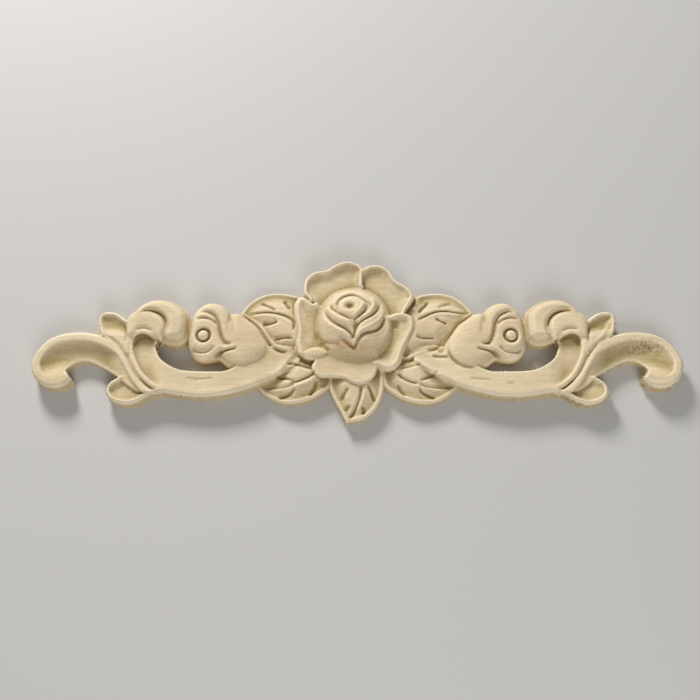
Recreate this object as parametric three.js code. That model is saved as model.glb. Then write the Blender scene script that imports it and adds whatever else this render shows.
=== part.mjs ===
// Carved wood applique: a rose between two leafy scrolls, cut from one thin board.
// The flat back lies on z = 0 with its centre at the origin, the carving faces +Z,
// and the length runs along X. All sizes are in millimetres.

import * as THREE from 'three';

// Driving dimensions
const LENGTH = 200;
const CROWN_HEIGHT = 11;
const SCROLL_CREST = 6.1;
const HOOK_EDGE = 4.9;
const HOOK_RIM_WIDTH = 2.7;
const HOOK_COVE = 2.7;
const BAND_EDGE = 5.3;
const BAND_RIM_WIDTH = 1.8;
const BAND_COVE = 1.5;
const RIM_RISE = 1;
const FOOT_CREST = 5.6;
const FOOT_EDGE = 4.6;
const TONGUE_CREST = 6.3;
const TONGUE_EDGE = 5.2;
const LOBE_RIM_WIDTH = 0.9;
const LOBE_COVE = 1.4;
const LOBE_COVE_WIDTH = 2.3;
const VOLUTE_CREST = 7.6;
const VOLUTE_EDGE = 3.8;
const VOLUTE_ROUND = 3.2;
const BALL_EDGE = 6.3;
const BALL_ROUND = 4.4;
const BUD_CREST = 7.2;
const BUD_EDGE = 2.4;
const BUD_ROUND = 3.6;
const CALYX_CREST = 7.4;
const CALYX_EDGE = 3.6;
const CALYX_ROUND = 6.5;
const LEAF_EDGE = 2.6;
const LEAF_RIM = 0.9;
const LEAF_RIM_WIDTH = 0.7;
const LEAF_DIP_SHARE = 0.5;
const LEAF_SWELL = 1.2;
const LEAF_SWELL_WIDTH = 4;
const LEAF_ROOT_RISE = 0.5;
const LEAF_ROOT_WIDTH = 6;
const LEAF_ROOT_START = 23;
const PETAL_CREST = 7.1;
const PETAL_EDGE = 6.2;
const PETAL_RIM_RISE = 0.6;
const PETAL_RIM_WIDTH = 0.9;
const PETAL_ROLL_RISE = 1.6;
const PETAL_ROLL_WIDTH = 1.4;
const PETAL_ROLL_COVE = 1.1;
const PETAL_DROP = 0.2;
const PETAL_COVE = 1.5;
const PETAL_COVE_WIDTH = 3.2;
const FLAT_COVE_SHARE = 0.1;
const LIP_ROUND = 1.8;
const BULB_FOOT = 5.5;
const BULB_ROUND = 10.5;
const BULB_FILLET = 1.8;
const FOOT_FILLET = 1.6;
const STEP_SLOPE = 5;
const LINE_SPREAD = 1.25;
const LINE_END_FADE = 6;
const LINE_HOLLOWNESS = 1.4;
const EYE_RADIUS = 2;
const EYE_CUT_WIDTH = 0.9;
const EYE_CUT = 1.2;
const EYE_BOSS = 0.4;
const PIT_DEPTH = 1.7;
const PIT_HALF_WIDTH = 2.5;
const PIT_HALF_DEPTH = 2.1;
const LEAST_HEIGHT = 0.6 * LEAF_EDGE;

// Fineness of the faceted surface
const SAMPLE_STEP = 0.4;
const OUTLINE_TOLERANCE = 0.05;
const OUTLINE_STEP = 1.7;
const SURFACE_POINTS = 4250;
const CURVE_STEPS = 4;
const TOUCH = 0.01;
const TINY = 1e-9;
const ROUND_SHARE = 1 / 6;
const INNER_SHARE = 0.01;
const LEAST_HOLE = 4;
const GRID_MARGIN = 2;
// Beyond this distance outside its outline a form has dropped below the back
const REACH = CROWN_HEIGHT / STEP_SLOPE;

// Half plan, mirrored about x = 0. The curves are drawn at a size of their own and scaled to
// LENGTH. A point given twice is a sharp corner.
const HOOK_OUTER = [[60.5, -16.4], [64.5, -12.4], [67.6, -7.2], [71.2, -2.4], [77.8, 1.2], [84.5, 2.35],
  [91, 1.3], [95.4, -1.8], [98, -6.8], [97.5, -10.8], [95.5, -13.5], [92.6, -15.1], [89.6, -15.3],
  [87.3, -14.3], [85.6, -12.6]];
const SCALE = LENGTH / 2 / Math.max(...drawnChain(HOOK_OUTER, false).map((point) => point[0]));
const HOOK_INNER = [[85.6, -12.6], [86.9, -11.2], [87.6, -9.4], [85.4, -7], [82, -6.4], [77, -8.4],
  [71.6, -12], [68.4, -14.6], [64.6, -16.6]];
const TONGUE = [[77.8, 1.2], [78.8, 5], [78.6, 7.6], [76.8, 8.8], [73.6, 8.4], [70.2, 6]];
const TONGUE_ROOT = [[70.2, 6], [69, 0], [69.3, -5], [72.2, -2.4], [77.8, 1.2]];
const BAND_OUTER = [[69.9, 5.5], [69.8, 0], [69.6, -4], [67.9, -8.4], [65.3, -12.6], [61, -16.1],
  [57, -17], [51, -17.9], [46, -18.2], [40, -17.6], [34, -16], [30.4, -14.7], [24, -11.5], [18, -8]];
const BAND_INNER = [[18, -3], [27, -2], [32, -6], [39, -10.1], [46, -10.5], [52.5, -10.1], [56.2, -8.7],
  [59.6, -6], [61.3, -2], [61.4, 0.6]];
const FOOT = [[71.6, -12], [74.2, -13.8], [75, -16.6], [73.2, -19.2], [69.2, -20.5], [65.6, -19.7],
  [62, -17.5], [58.5, -17]];
const FOOT_ROOT = [[58.5, -15.5], [60.5, -14.5], [66, -11.5], [71.6, -12]];
const CRESCENT = [[69.9, 6], [68, 10.1], [64.4, 12.8], [60, 13.4], [55.5, 12], [52, 9], [51.1, 5],
  [51.6, 0.8], [53.4, -1.1], [56.4, -1.5], [59.4, -0.5], [61.3, 0.5]];
const CRESCENT_INNER = [[61.3, 0.5], [58.8, 1.4], [57.9, 4.4], [58.7, 7], [61.2, 8.8], [65.2, 8.8],
  [68, 7]];
const BALL = [[69.9, 6], [67.8, 8.5], [64.9, 9.9], [61.1, 9.6], [58.3, 7.6], [57.2, 4.6], [57.7, 1.9],
  [59.5, 0], [61.2, 0.4], [63.3, 1.3], [65.4, 1.8], [67.3, 1], [68.2, -1], [69.8, -1]];
const CALYX = [[39, 8.3], [35.9, 8.5], [35.9, 8.5], [33, 6.6], [30, 4], [27.8, 0.6], [26.5, -2.5],
  [27.3, -5.6], [30.2, -8.6], [34.5, -10.2], [38.5, -9], [41.3, -6.6], [43, -5], [43, 3]];
const BUD = [[51, 6.5], [49.5, 9.6], [46.5, 12], [43.5, 12.2], [40.6, 11], [38.4, 8.2], [37.4, 5],
  [36.5, 1], [35.4, -2.6], [35.4, -2.6], [38.5, -4], [41.3, -5.6], [43.4, -6.6], [46.3, -7], [49, -6],
  [51, -3.4], [51.6, 0], [51.4, 3.5]];
const UPPER_LEAF = [[36, 8.7], [36, 8.7], [33.8, 12.2], [30, 15], [25.5, 16.1], [21, 15.7],
  [17.9, 14.6], [14, 14], [9, 10], [9, -2], [14, -6.5], [20.5, -4.3], [24.3, -3.4], [27.3, -0.4],
  [30, 3.8], [33, 6.6]];
const LOWER_LEAF = [[30.3, -14.6], [30.3, -14.6], [27.4, -17.4], [23.5, -19.4], [19, -19.8],
  [14.3, -18.7], [10.5, -16.6], [8, -14], [8, -8], [14, -5], [19.5, -4.2], [22, -7.2], [24.4, -10.8],
  [27, -12.9]];

// Whole plan, not mirrored
const BOTTOM_LEAF = [[-3.4, -25.6], [-3.4, -25.6], [1.5, -24.7], [5.2, -21.9], [7.4, -17.8], [8, -13.5],
  [6.8, -9], [0, -6], [-7.5, -9], [-8.5, -14.3], [-7.2, -18.4], [-5.2, -22.1]];
const PETAL_TOP_LEFT = [[-14.8, 12.6], [-16.2, 14.4], [-16.4, 16.8], [-15.5, 19.8], [-13, 21.8],
  [-9.5, 22.4], [-7, 24.1], [-3.5, 25.4], [0, 24.7], [2, 22.8], [2, 22.8], [1.7, 20], [1.7, 17.5]];
const PETAL_TOP_LEFT_ROOT = [[2.5, 13], [0, 6], [-6, 4], [-12, 8]];
const PETAL_TOP_RIGHT = [[2, 22.8], [4.2, 24], [7.5, 23.9], [10.3, 21.8], [12, 19], [15.3, 16.8],
  [17.3, 14], [16.4, 11.5], [15, 9.2], [14.4, 7.6]];
const PETAL_TOP_RIGHT_ROOT = [[12, 4], [6, 3], [0, 8], [0.5, 16]];
const PETAL_RIGHT = [[9.4, 7.6], [12.5, 8.6], [15.4, 8.2], [17.3, 6.6], [17.7, 3.5], [16.2, -0.2],
  [14.4, -3.8], [13, -7.8], [10.8, -10], [8.2, -10.2], [6, -9.3]];
const PETAL_RIGHT_ROOT = [[3, -5], [4, 2]];
const PETAL_BOTTOM = [[6.4, -8], [6, -9.6], [5, -12], [2.6, -14.2], [-0.5, -14.4], [-4.2, -12.7],
  [-8, -12.2], [-11.6, -12], [-13.4, -9.8], [-12.9, -7.4]];
const PETAL_BOTTOM_ROOT = [[-9, -2], [4, -1]];
const PETAL_LEFT = [[-13.4, 12], [-15.4, 13.4], [-17.8, 13.6], [-19.3, 11], [-19.2, 7], [-18.5, 2.5],
  [-18.8, -1.5], [-18.2, -4.4]];
const PETAL_LEFT_ROOT = [[-14, -5.5], [-8, -4], [-7, 5], [-10, 10]];
const PETAL_LIP = [[-17.8, -4.5], [-15.6, -3.6], [-12.6, -2.7], [-10, -3.2], [-8.5, -4.8], [-10, -6.1],
  [-12.7, -6.9], [-15.6, -6.4]];
const BULB = [[-12.3, 7], [-12.8, 3.5], [-12, 0], [-9.5, -4.3], [-5, -6.9], [1, -7.4], [6, -6.1],
  [9.6, -2], [10.6, 2.5], [9.8, 8], [7.3, 13], [3, 16], [-2, 16.6], [-7, 15], [-10.6, 11.4]];

// Cuts and raised lines: the height at the line, its width on the left and on the right hand,
// and the line. These stand on both sides, mirrored.
const BOTH_SIDES = [
  [-0.9, 0.8, 0.7, [[77.6, 1], [75.4, 0.4], [73.6, -0.7], [71.9, -2.4], [70.4, -4.2], [69.2, -6.2],
    [68, -8.4], [66.7, -10.6], [65.2, -12.5], [63.6, -14.1], [61.8, -15.5], [59.6, -16.2]]],
  [-0.5, 0.8, 0.8, [[70.6, 4.4], [70, 1.5], [70.1, -1.5]]],
  [-1.1, 0.6, 0.7, [[66, 8.6], [64, 9], [62, 8.6], [60, 7.6], [58.6, 6.2], [57.8, 4.5], [57.7, 2.9],
    [58.3, 1.4], [59.4, 0.4]]],
  [-0.5, 0.8, 0.8, [[67, 2.4], [65.4, 3], [63.6, 2.8], [61.8, 1.9]]],
  [0.6, 0.6, 0.6, [[67.9, -0.4], [67.1, 1], [65.6, 1.9], [64, 1.8], [62.6, 1], [61.4, 0]]],
  [-0.4, 0.8, 0.5, [[67.6, -2.6], [67.2, -1], [66.2, 0.3], [64.6, 0.9], [62.8, 0.4], [61.4, -0.9]]],
  [-1.1, 0.9, 0.8, [[48.2, 8.2], [46.5, 8.5], [44.8, 8], [43.3, 6.9], [42.2, 5], [41.7, 2.8],
    [41.1, 0.6], [40.2, -1.2], [38.9, -2], [37.3, -2.4]]],
  [-0.8, 0.9, 0.6, [[49.2, 5.8], [47.5, 6.4], [46, 6.4], [44.4, 5.8], [43.2, 5], [42.6, 4.2]]],
  [0.25, 0.6, 0.6, [[48.5, 7.2], [46.3, 7.4], [44.3, 6.7], [43, 5.6]]],
  [-0.8, 0.6, 1.6, [[50, -3.4], [48.6, -4.4], [47, -4.8], [45.4, -4.7], [43.9, -4], [42.7, -2.8]]],
  [0.5, 0.9, 0.8, [[50, -4.9], [48.2, -5.9], [46.2, -6.1], [44.4, -5.3], [42.8, -4], [41, -3.2],
    [39, -3], [36.6, -2.9]]],
  [-1.0, 0.7, 0.7, [[43.2, -6], [42, -5.4], [41, -4.6], [39.5, -4], [37.6, -3.7], [36, -3.4]]],
  [-0.4, 1.2, 1.2, [[38.4, 7], [37.9, 4], [37.7, 1]]],
];
const LEFT_LEAVES = [
  [-0.9, 0.7, 0.7, [[-33, 8.9], [-29.5, 9.1], [-26, 9], [-23, 8.2], [-20.8, 7.1], [-19.5, 5.8],
    [-19.3, 4], [-19.5, 2.4]]],
  [0.35, 0.9, 0.9, [[-33, 8], [-29, 8.1], [-26, 7.9], [-23.5, 7.2], [-21.5, 6.1], [-20.3, 4.8]]],
  [-1.1, 1.6, 0.6, [[-29, 5.1], [-27, 5.1], [-25.3, 5.4], [-24.2, 6]]],
  [-0.9, 1.2, 0.5, [[-25.1, 0], [-23.2, 0.3], [-21.5, 0.4], [-19.3, 0.1]]],
  [-0.9, 0.8, 0.6, [[-29.8, 12.4], [-28, 11.5], [-26.3, 10.6], [-25, 9.7]]],
  [-0.9, 0.9, 0.6, [[-22.6, 13.2], [-22.1, 12.2], [-21.4, 11], [-20.6, 10]]],
  [-1.1, 0.8, 0.8, [[-35.6, 7.6], [-33.5, 6.7], [-31.5, 5.4], [-30, 3.8], [-28.6, 1.8], [-27.4, 0],
    [-26.2, -1.7], [-24.6, -3.1], [-22.8, -3.9], [-21, -4.1]]],
  [0.4, 0.8, 0.8, [[-32.6, 7], [-30, 5.2], [-28.4, 3.1], [-27, 1], [-25.8, -0.6], [-24.2, -2],
    [-22, -2.9], [-19.8, -3.4]]],
  [0.3, 0.7, 1.6, [[-19.4, -4.4], [-21, -6.6], [-22.7, -9], [-24.2, -11.4], [-26, -12.6]]],
  [-0.35, 1.3, 1.0, [[-18.4, -5], [-19.6, -6.8], [-21.1, -8.9], [-22.9, -11]]],
  [-1.0, 0.8, 0.8, [[-12.3, -10.4], [-14.2, -11.6], [-16.3, -12.6], [-18.4, -13.4], [-20.4, -14]]],
  [-0.8, 0.5, 1.2, [[-18.6, -14.1], [-21, -14.9], [-24, -15.2], [-27.8, -15]]],
  [-0.9, 0.6, 0.7, [[-18.6, -13.1], [-20.2, -12.7], [-22.3, -12], [-24.8, -11.4]]],
  [-0.8, 0.6, 0.6, [[-21.3, -7.6], [-18.8, -7.9], [-16.3, -8.6], [-13.3, -9.5]]],
  [-0.3, 0.8, 0.8, [[-18, -4.8], [-17, -5.9], [-15.4, -6.9], [-13.2, -7.4]]],
  [-0.8, 0.9, 0.9, [[-18.6, -15.2], [-19.8, -16.6], [-21.5, -17.6], [-23.6, -18.4]]],
  [-0.8, 0.9, 0.9, [[-12.2, -12.9], [-12.7, -14.8], [-13.6, -16.4], [-14.3, -17.6]]],
  [0.35, 0.7, 0.7, [[-13, -12.6], [-15, -13.6], [-17, -14.4], [-19.2, -15]]],
];
const RIGHT_LEAVES = [
  [-0.8, 0.6, 0.6, [[34.5, 9.1], [30, 9.3], [26, 9.5], [23.5, 9], [21.5, 8], [19.7, 6.9], [18.4, 6]]],
  [0.3, 0.8, 0.8, [[19.5, 7.9], [21.5, 9], [23.5, 9.9], [26.5, 10.4], [30, 10.2]]],
  [0.3, 0.8, 0.8, [[22, 7.3], [24.5, 8.3], [28, 8.5], [32, 8.3]]],
  [-1.0, 0.7, 0.7, [[24, 6.9], [25.6, 6], [27.6, 5.2]]],
  [-0.9, 1.2, 0.5, [[17.8, 0.9], [19.3, 0.3], [21.5, 0.3], [23.6, 0.3]]],
  [-0.9, 0.8, 0.7, [[22, 12.9], [21.2, 11.5], [20, 10.2], [18.8, 8.6]]],
  [-0.6, 1.0, 1.0, [[24.9, 10.6], [26.5, 11.5], [29.3, 12.4]]],
  [-0.4, 0.8, 0.8, [[15.6, 9.2], [16.8, 10.8], [17.9, 12.6]]],
  [-1.3, 1.0, 1.0, [[35.2, 7.3], [32.6, 6.6], [30.6, 5], [29.2, 3], [28, 1.3], [26.8, -0.3],
    [25.2, -1.9], [23.4, -3], [21, -3.6]]],
  [-0.8, 1.3, 1.3, [[26.6, -1.6], [25.8, -3.2], [24.6, -4.2]]],
  [-0.7, 0.7, 0.7, [[22.6, -5.2], [25, -5.5], [27.8, -5.7]]],
  [-0.6, 0.6, 0.8, [[27.8, -1], [27.8, -3.8], [28.6, -6], [30.2, -7.8], [32.5, -9], [35.5, -9.4]]],
  [-0.5, 0.6, 0.6, [[13, -9.3], [16, -8.7], [19.5, -7.7]]],
  [-1.0, 0.8, 0.8, [[12, -10.5], [13.6, -12.2], [16, -13.4], [18.5, -14]]],
  [-0.8, 1.2, 0.5, [[18.2, -14.1], [21, -14.9], [25, -15.1], [29, -14.6]]],
  [-0.8, 0.7, 0.7, [[18.8, -13], [20.5, -12.3], [22.6, -11.2], [24.6, -10.4]]],
  [-0.9, 0.6, 0.6, [[18.5, -15], [19.3, -16.4], [21.2, -17.4], [23.6, -18.5]]],
  [-0.6, 0.7, 0.7, [[12, -14.2], [13, -16], [14.6, -17.8]]],
  [-0.4, 0.9, 0.9, [[13.4, -8.4], [14.8, -5.6], [15.8, -2.6]]],
  [0.7, 2.4, 2.4, [[16.6, -6], [20.2, -8.4], [23.8, -11.2], [27.4, -13.4]]],
  [0.45, 0.9, 0.9, [[78, 7.4], [76.2, 4], [74.4, 1], [72.4, -2]]],
];
const LOWER_LEAVES = [
  [-0.9, 0.9, 0.8, [[1.1, -14.5], [1, -17], [0.5, -19.2], [-0.5, -21.5], [-1.6, -23.6], [-2.6, -25.3]]],
  [0.3, 0.7, 0.7, [[2, -16], [1.8, -18.5], [1, -20.6], [0, -22.5]]],
  [-0.8, 0.9, 0.9, [[-2.6, -15.4], [-3.7, -17], [-4.8, -19.2]]],
  [-0.6, 0.9, 0.9, [[-2.2, -20.6], [-3.6, -22.4]]],
  [-0.9, 0.7, 0.7, [[3.1, -14.4], [3.9, -16.2], [4.6, -18], [5.2, -19.6]]],
  [-0.7, 0.8, 0.8, [[1.2, -20.9], [1.9, -22], [1.8, -23.6]]],
];
const ROSE_LINES = [
  [-1.0, 1.2, 0.9, [[3.8, 8.9], [4, 10.1], [3, 10.9], [1.9, 11.7], [0.6, 12.7], [-0.6, 13.2],
    [-2.2, 13.3], [-4, 12.7], [-5.4, 11.6], [-6.1, 10], [-6, 8.6], [-5.4, 7.6]]],
  [0.3, 0.8, 1.6, [[-0.5, 14.3], [-3, 14], [-4.8, 13], [-6.4, 11.4], [-7.2, 9.8]]],
  [-1.1, 1.3, 0.8, [[-8.1, 10], [-7.6, 8.8], [-6.6, 7.7], [-5.2, 6.5], [-3.8, 5.6], [-2.6, 4.9],
    [-1.3, 4.4]]],
  [0.5, 0.8, 2.0, [[-8.9, 9.8], [-8.4, 8.1], [-7.2, 6.7], [-5.8, 5.6], [-4.4, 4.8], [-3, 4.1],
    [-1.8, 3.7]]],
  [-1.0, 1.2, 1.2, [[-0.9, 1.2], [-0.6, 2.8], [-0.8, 4.4], [0.2, 5.2], [1.2, 6.1], [2.3, 7.3], [3, 8.8],
    [3.2, 10]]],
  [0.6, 0.8, 0.7, [[1.5, 11.1], [1.8, 9.9], [1.3, 8.5], [0.3, 7.1], [-0.6, 6], [-1.3, 5]]],
  [0.6, 1.5, 0.8, [[4, 12.8], [4.8, 11.6], [5.1, 10.1], [4.7, 8.3], [3.6, 6.8], [2.1, 5.7], [0.7, 4.7],
    [-0.3, 3.8]]],
  [-1.3, 1.3, 0.8, [[-9.7, 8.6], [-9.3, 7.1], [-8.4, 5.6], [-7.2, 4.1], [-5.6, 2.8], [-3.9, 1.7],
    [-2.5, 0.6], [-1.2, -0.8], [-1.2, -0.8], [-0.7, 0.6], [-0.2, 2], [0.6, 3.2], [1.8, 4.3], [3.2, 5.3],
    [4.6, 6.4], [5.8, 7.8], [6.5, 9.2], [6.8, 10.6]]],
  [0.6, 0.8, 2.0, [[-10.6, 8.8], [-10.2, 6.5], [-9.2, 4.5], [-7.8, 3], [-6, 1.7], [-4.2, 0.7],
    [-2.8, -0.4], [-1.9, -1.4], [-1, -2.7], [-1, -2.7], [-0.2, -1], [0.9, 0.5], [2.2, 1.5], [3.8, 2.6],
    [5.3, 3.7], [6.6, 5], [7.6, 6.6], [7.9, 8], [7.6, 9.6], [7, 11.3]]],
  [-1.2, 0.9, 0.9, [[-5.4, -0.9], [-4.2, -1.7], [-3, -2.5], [-2, -3.2], [-1, -3.6], [-1, -3.6],
    [-0.3, -2.7], [0.3, -1.6], [1.2, -0.5], [2.5, 0.3], [4, 0.8], [5.6, 1.5], [6.8, 2.6], [7.7, 4.2],
    [8.3, 6], [8.4, 7.9]]],
  [0.45, 0.9, 1.4, [[0.6, -2.5], [2.5, -1.9], [5, -1.5], [7.3, -0.6], [8.8, 1], [9.4, 3.2],
    [9.4, 5.5]]],
  [-0.5, 0.8, 1.2, [[-12.3, 2], [-11.8, 0.4], [-11, -0.8], [-9.8, -1.6], [-8, -2.1], [-6, -2.5],
    [-4.8, -2.6]]],
  [-0.4, 0.6, 0.6, [[-15, 12.6], [-13.6, 11.6], [-12.2, 11], [-10.9, 10.6]]],
  [0.5, 0.9, 0.9, [[2, 22.6], [1.5, 20.5], [1.4, 18.4], [1.2, 16.6]]],
  [0.4, 0.9, 1.3, [[9.4, 7.0], [12.5, 7.6], [15.8, 7.2]]],
  [-0.5, 1.4, 1.4, [[11.2, 6], [11.6, 4.6], [11.8, 3]]],
  [-0.7, 0.7, 0.6, [[-11.4, -1.6], [-9.8, -2.9], [-8.4, -4.4]]],
  [0.9, 1.6, 1.6, [[19.2, 14.4], [18.2, 12.2], [17.2, 9.6]]],
  [0.5, 2.0, 2.0, [[11, -10.2], [13, -8.2], [14.8, -6.4]]],
];
const BUD_EYE = [46.6, 0.8];
const ROSE_PIT = [-2.2, 9.1];
const HOOK_TIP = [89.5, -15.5];

// Where hollows open and fade out on the drawn plan, and by what share or depth
const HOOK_CHANNEL = { start: 69, run: 8, least: 0.4, tipGap: 2.5, tipRun: 7 };
const BAND_CHANNEL = { start: 57, run: 6.5, least: 0.1 };
const TONGUE_CHANNEL = { start: 0.5, run: 4 };
const RIGHT_FOLD = { top: 13, drop: 4, start: 12.5, run: 2, extra: 0.3 };
const BAND_SINK = { start: 33, run: 10, depth: 1 };
const BALL_SINK = { top: 2, drop: 3, start: 65.5, run: 2.5, depth: 1.3 };
const UPPER_LEAF_CLIMB = { rise: 1.3, fromY: 12, overY: -9 };
const LOWER_LEAF_CLIMB = { rise: 0.5, fromY: -19, overY: 9 };
const BOTTOM_LEAF_CLIMB = { rise: 0.8, fromY: -24, overY: 12 };

function clamp(value, low, high) {
  return Math.min(Math.max(value, low), high);
}

// From 0 to 1 as t does, level at both ends
function ease(t) {
  const u = clamp(t, 0, 1);
  return u * u * (3 - 2 * u);
}

// From 0 to 1 as t does: a crisp start, levelling out at the end
function arch(t) {
  const u = clamp(t, 0, 1);
  return u * (2 - u);
}

// From 0 to 1 as t does: a steep start, levelling out at the end
function crisp(t) {
  return Math.sqrt(arch(t));
}

// The drawn points joined by a smooth curve, as a chain of short straight pieces
function drawnChain(points, closed) {
  const corners = points.map(([x, y]) => new THREE.Vector3(x, y, 0));
  const curve = new THREE.CatmullRomCurve3(corners, closed, 'catmullrom', 0.5);
  const spans = closed ? points.length : points.length - 1;
  return curve.getPoints(spans * CURVE_STEPS).map((point) => [point.x, point.y]);
}

// The same chain at the size of the carving
function smoothChain(points, closed) {
  return drawnChain(points, closed).map(([x, y]) => [x * SCALE, y * SCALE]);
}

function boxOf(chain, margin) {
  const xs = chain.map((point) => point[0]);
  const ys = chain.map((point) => point[1]);
  return {
    left: Math.min(...xs) - margin,
    right: Math.max(...xs) + margin,
    low: Math.min(...ys) - margin,
    high: Math.max(...ys) + margin,
  };
}

function outside(box, x, y) {
  return x < box.left || x > box.right || y < box.low || y > box.high;
}

// The nearest place on a chain: how far it is, how far along, and on which hand
function nearest(chain, x, y) {
  let best = Infinity;
  let along = 0;
  let hand = 0;
  for (let i = 0; i < chain.length - 1; i += 1) {
    const [ax, ay] = chain[i];
    const dx = chain[i + 1][0] - ax;
    const dy = chain[i + 1][1] - ay;
    const lengthSquared = dx * dx + dy * dy;
    if (lengthSquared > TINY ** 2) {
      const t = clamp(((x - ax) * dx + (y - ay) * dy) / lengthSquared, 0, 1);
      const distance = Math.hypot(x - ax - t * dx, y - ay - t * dy);
      if (distance < best) {
        best = distance;
        along = (i + t) / (chain.length - 1);
        hand = dx * (y - ay) - dy * (x - ax);
      }
    }
  }
  return { distance: best, along, hand };
}

function isInside(chain, x, y) {
  let inside = false;
  for (let i = 0; i < chain.length - 1; i += 1) {
    const [ax, ay] = chain[i];
    const [bx, by] = chain[i + 1];
    if ((ay > y) !== (by > y) && x < ax + ((y - ay) * (bx - ax)) / (by - ay)) {
      inside = !inside;
    }
  }
  return inside;
}

// A closed plan form. depth(x, y) is the distance in from its outline, negative outside it.
function region(points) {
  const chain = smoothChain(points, true);
  const box = boxOf(chain, REACH);
  return {
    depth(x, y) {
      if (outside(box, x, y)) {
        return -REACH;
      }
      const { distance } = nearest(chain, x, y);
      return isInside(chain, x, y) ? distance : -distance;
    },
  };
}

// A form that rises from its edge to a crest over a width, and drops steeply outside
function pillow(points, edge, crest, width) {
  const form = region(points);
  const height = (x, y) => {
    const depth = form.depth(x, y);
    if (depth < 0) {
      return edge + STEP_SLOPE * depth;
    }
    return edge + (crest - edge) * crisp(depth / width);
  };
  return { depth: form.depth, height };
}

// A leaf: a thin rim, a shallow dip inside it and a low swell, rising towards the rose
function leaf(points, { rise, fromY, overY }) {
  const form = region(points);
  const height = (x, y) => {
    const depth = form.depth(x, y);
    const climb = rise * ease((y / SCALE - fromY) / overY);
    const root = LEAF_ROOT_RISE * ease((LEAF_ROOT_START - Math.abs(x) / SCALE) / LEAF_ROOT_WIDTH);
    const edge = LEAF_EDGE + climb + root;
    if (depth < 0) {
      return edge + STEP_SLOPE * depth;
    }
    const rim = arch(depth / LEAF_RIM_WIDTH) - LEAF_DIP_SHARE * arch(depth - LEAF_RIM_WIDTH);
    const swell = ease((depth - 2 * LEAF_RIM_WIDTH) / LEAF_SWELL_WIDTH);
    return edge + LEAF_RIM * rim + LEAF_SWELL * swell;
  };
  return { depth: form.depth, height };
}

// A form with a rim along its free edge alone, and a cove between the rim and the far side.
// A cove without a width of its own runs all the way to the far side.
function rimmed(free, root, { edge, crest, rise, rim, cove, coveWidth, coveAt, hollow = crisp }) {
  const form = region([...free, ...root]);
  const freeLine = smoothChain(free, false);
  const rootLine = smoothChain(root, false);
  const height = (x, y) => {
    const depth = form.depth(x, y);
    if (depth <= -REACH) {
      return -Infinity;
    }
    const { distance } = nearest(freeLine, x, y);
    const beyondFree = depth < 0 && distance + depth < TOUCH;
    const fromFree = beyondFree ? 0 : distance;
    const past = Math.max(fromFree - rim, 0);
    const span = coveWidth || Math.max(past + nearest(rootLine, x, y).distance, TOUCH);
    const strength = coveAt ? coveAt(x / SCALE, y / SCALE) : 1;
    const rimTop = edge + (crest - edge) * arch(fromFree / rise);
    return rimTop - strength * cove * hollow(past / span) + STEP_SLOPE * Math.min(depth, 0);
  };
  return { depth: form.depth, height };
}

// A cut or a raised line, which fades at both ends
function drawnLine([amount, leftWidth, rightWidth, points]) {
  const chain = smoothChain(points, false);
  const box = boxOf(chain, LINE_SPREAD * Math.max(leftWidth, rightWidth));
  return (x, y) => {
    if (outside(box, x, y)) {
      return 0;
    }
    const { distance, along, hand } = nearest(chain, x, y);
    const width = LINE_SPREAD * (hand > 0 ? leftWidth : rightWidth);
    const fade = 1 - Math.abs(2 * along - 1) ** LINE_END_FADE;
    return amount * fade * Math.max(1 - distance / width, 0) ** LINE_HOLLOWNESS;
  };
}

// The ring-shaped cut in the bud and the round boss inside it
function budEye(x, y) {
  const radius = Math.hypot(x - BUD_EYE[0] * SCALE, y - BUD_EYE[1] * SCALE);
  const ring = EYE_CUT * (1 - ease(Math.abs(radius - EYE_RADIUS) / EYE_CUT_WIDTH));
  return EYE_BOSS * (1 - ease(radius / EYE_RADIUS)) - ring;
}

// The small round pit in the middle of the rose
function rosePit(x, y) {
  const across = (x / SCALE - ROSE_PIT[0]) / PIT_HALF_WIDTH;
  const up = (y / SCALE - ROSE_PIT[1]) / PIT_HALF_DEPTH;
  return PIT_DEPTH * (1 - ease(Math.hypot(across, up)));
}

// The hook's channel opens out of its root and runs out level at its tip
function hookChannel(x, y) {
  const fromTip = Math.hypot(x - HOOK_TIP[0], y - HOOK_TIP[1]);
  const { start, run, least, tipGap, tipRun } = HOOK_CHANNEL;
  return (least + (1 - least) * ease((x - start) / run)) * ease((fromTip - tipGap) / tipRun);
}

// The band's channel is deep under the ball and dies out along the foot
function bandChannel(x) {
  const { start, run, least } = BAND_CHANNEL;
  return least + (1 - least) * ease((x - start) / run);
}

// The tongue's hollow fades out towards its root
function tongueChannel(x, y) {
  return ease((y - TONGUE_CHANNEL.start) / TONGUE_CHANNEL.run);
}

// The upper right petal is cut a little lower where the right petal meets it
function rightFold(x, y) {
  const { top, drop, start, run, extra } = RIGHT_FOLD;
  return 1 + extra * ease((top - y) / drop) * ease((x - start) / run);
}

// The band sinks where it runs in between the leaves
function bandSink(x) {
  return BAND_SINK.depth * ease((BAND_SINK.start - x) / BAND_SINK.run);
}

// The ball sinks where it rolls over into the band's channel
function ballSink(x, y) {
  const { top, drop, start, run, depth } = BALL_SINK;
  return depth * ease((top - y) / drop) * ease((x - start) / run);
}

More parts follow.
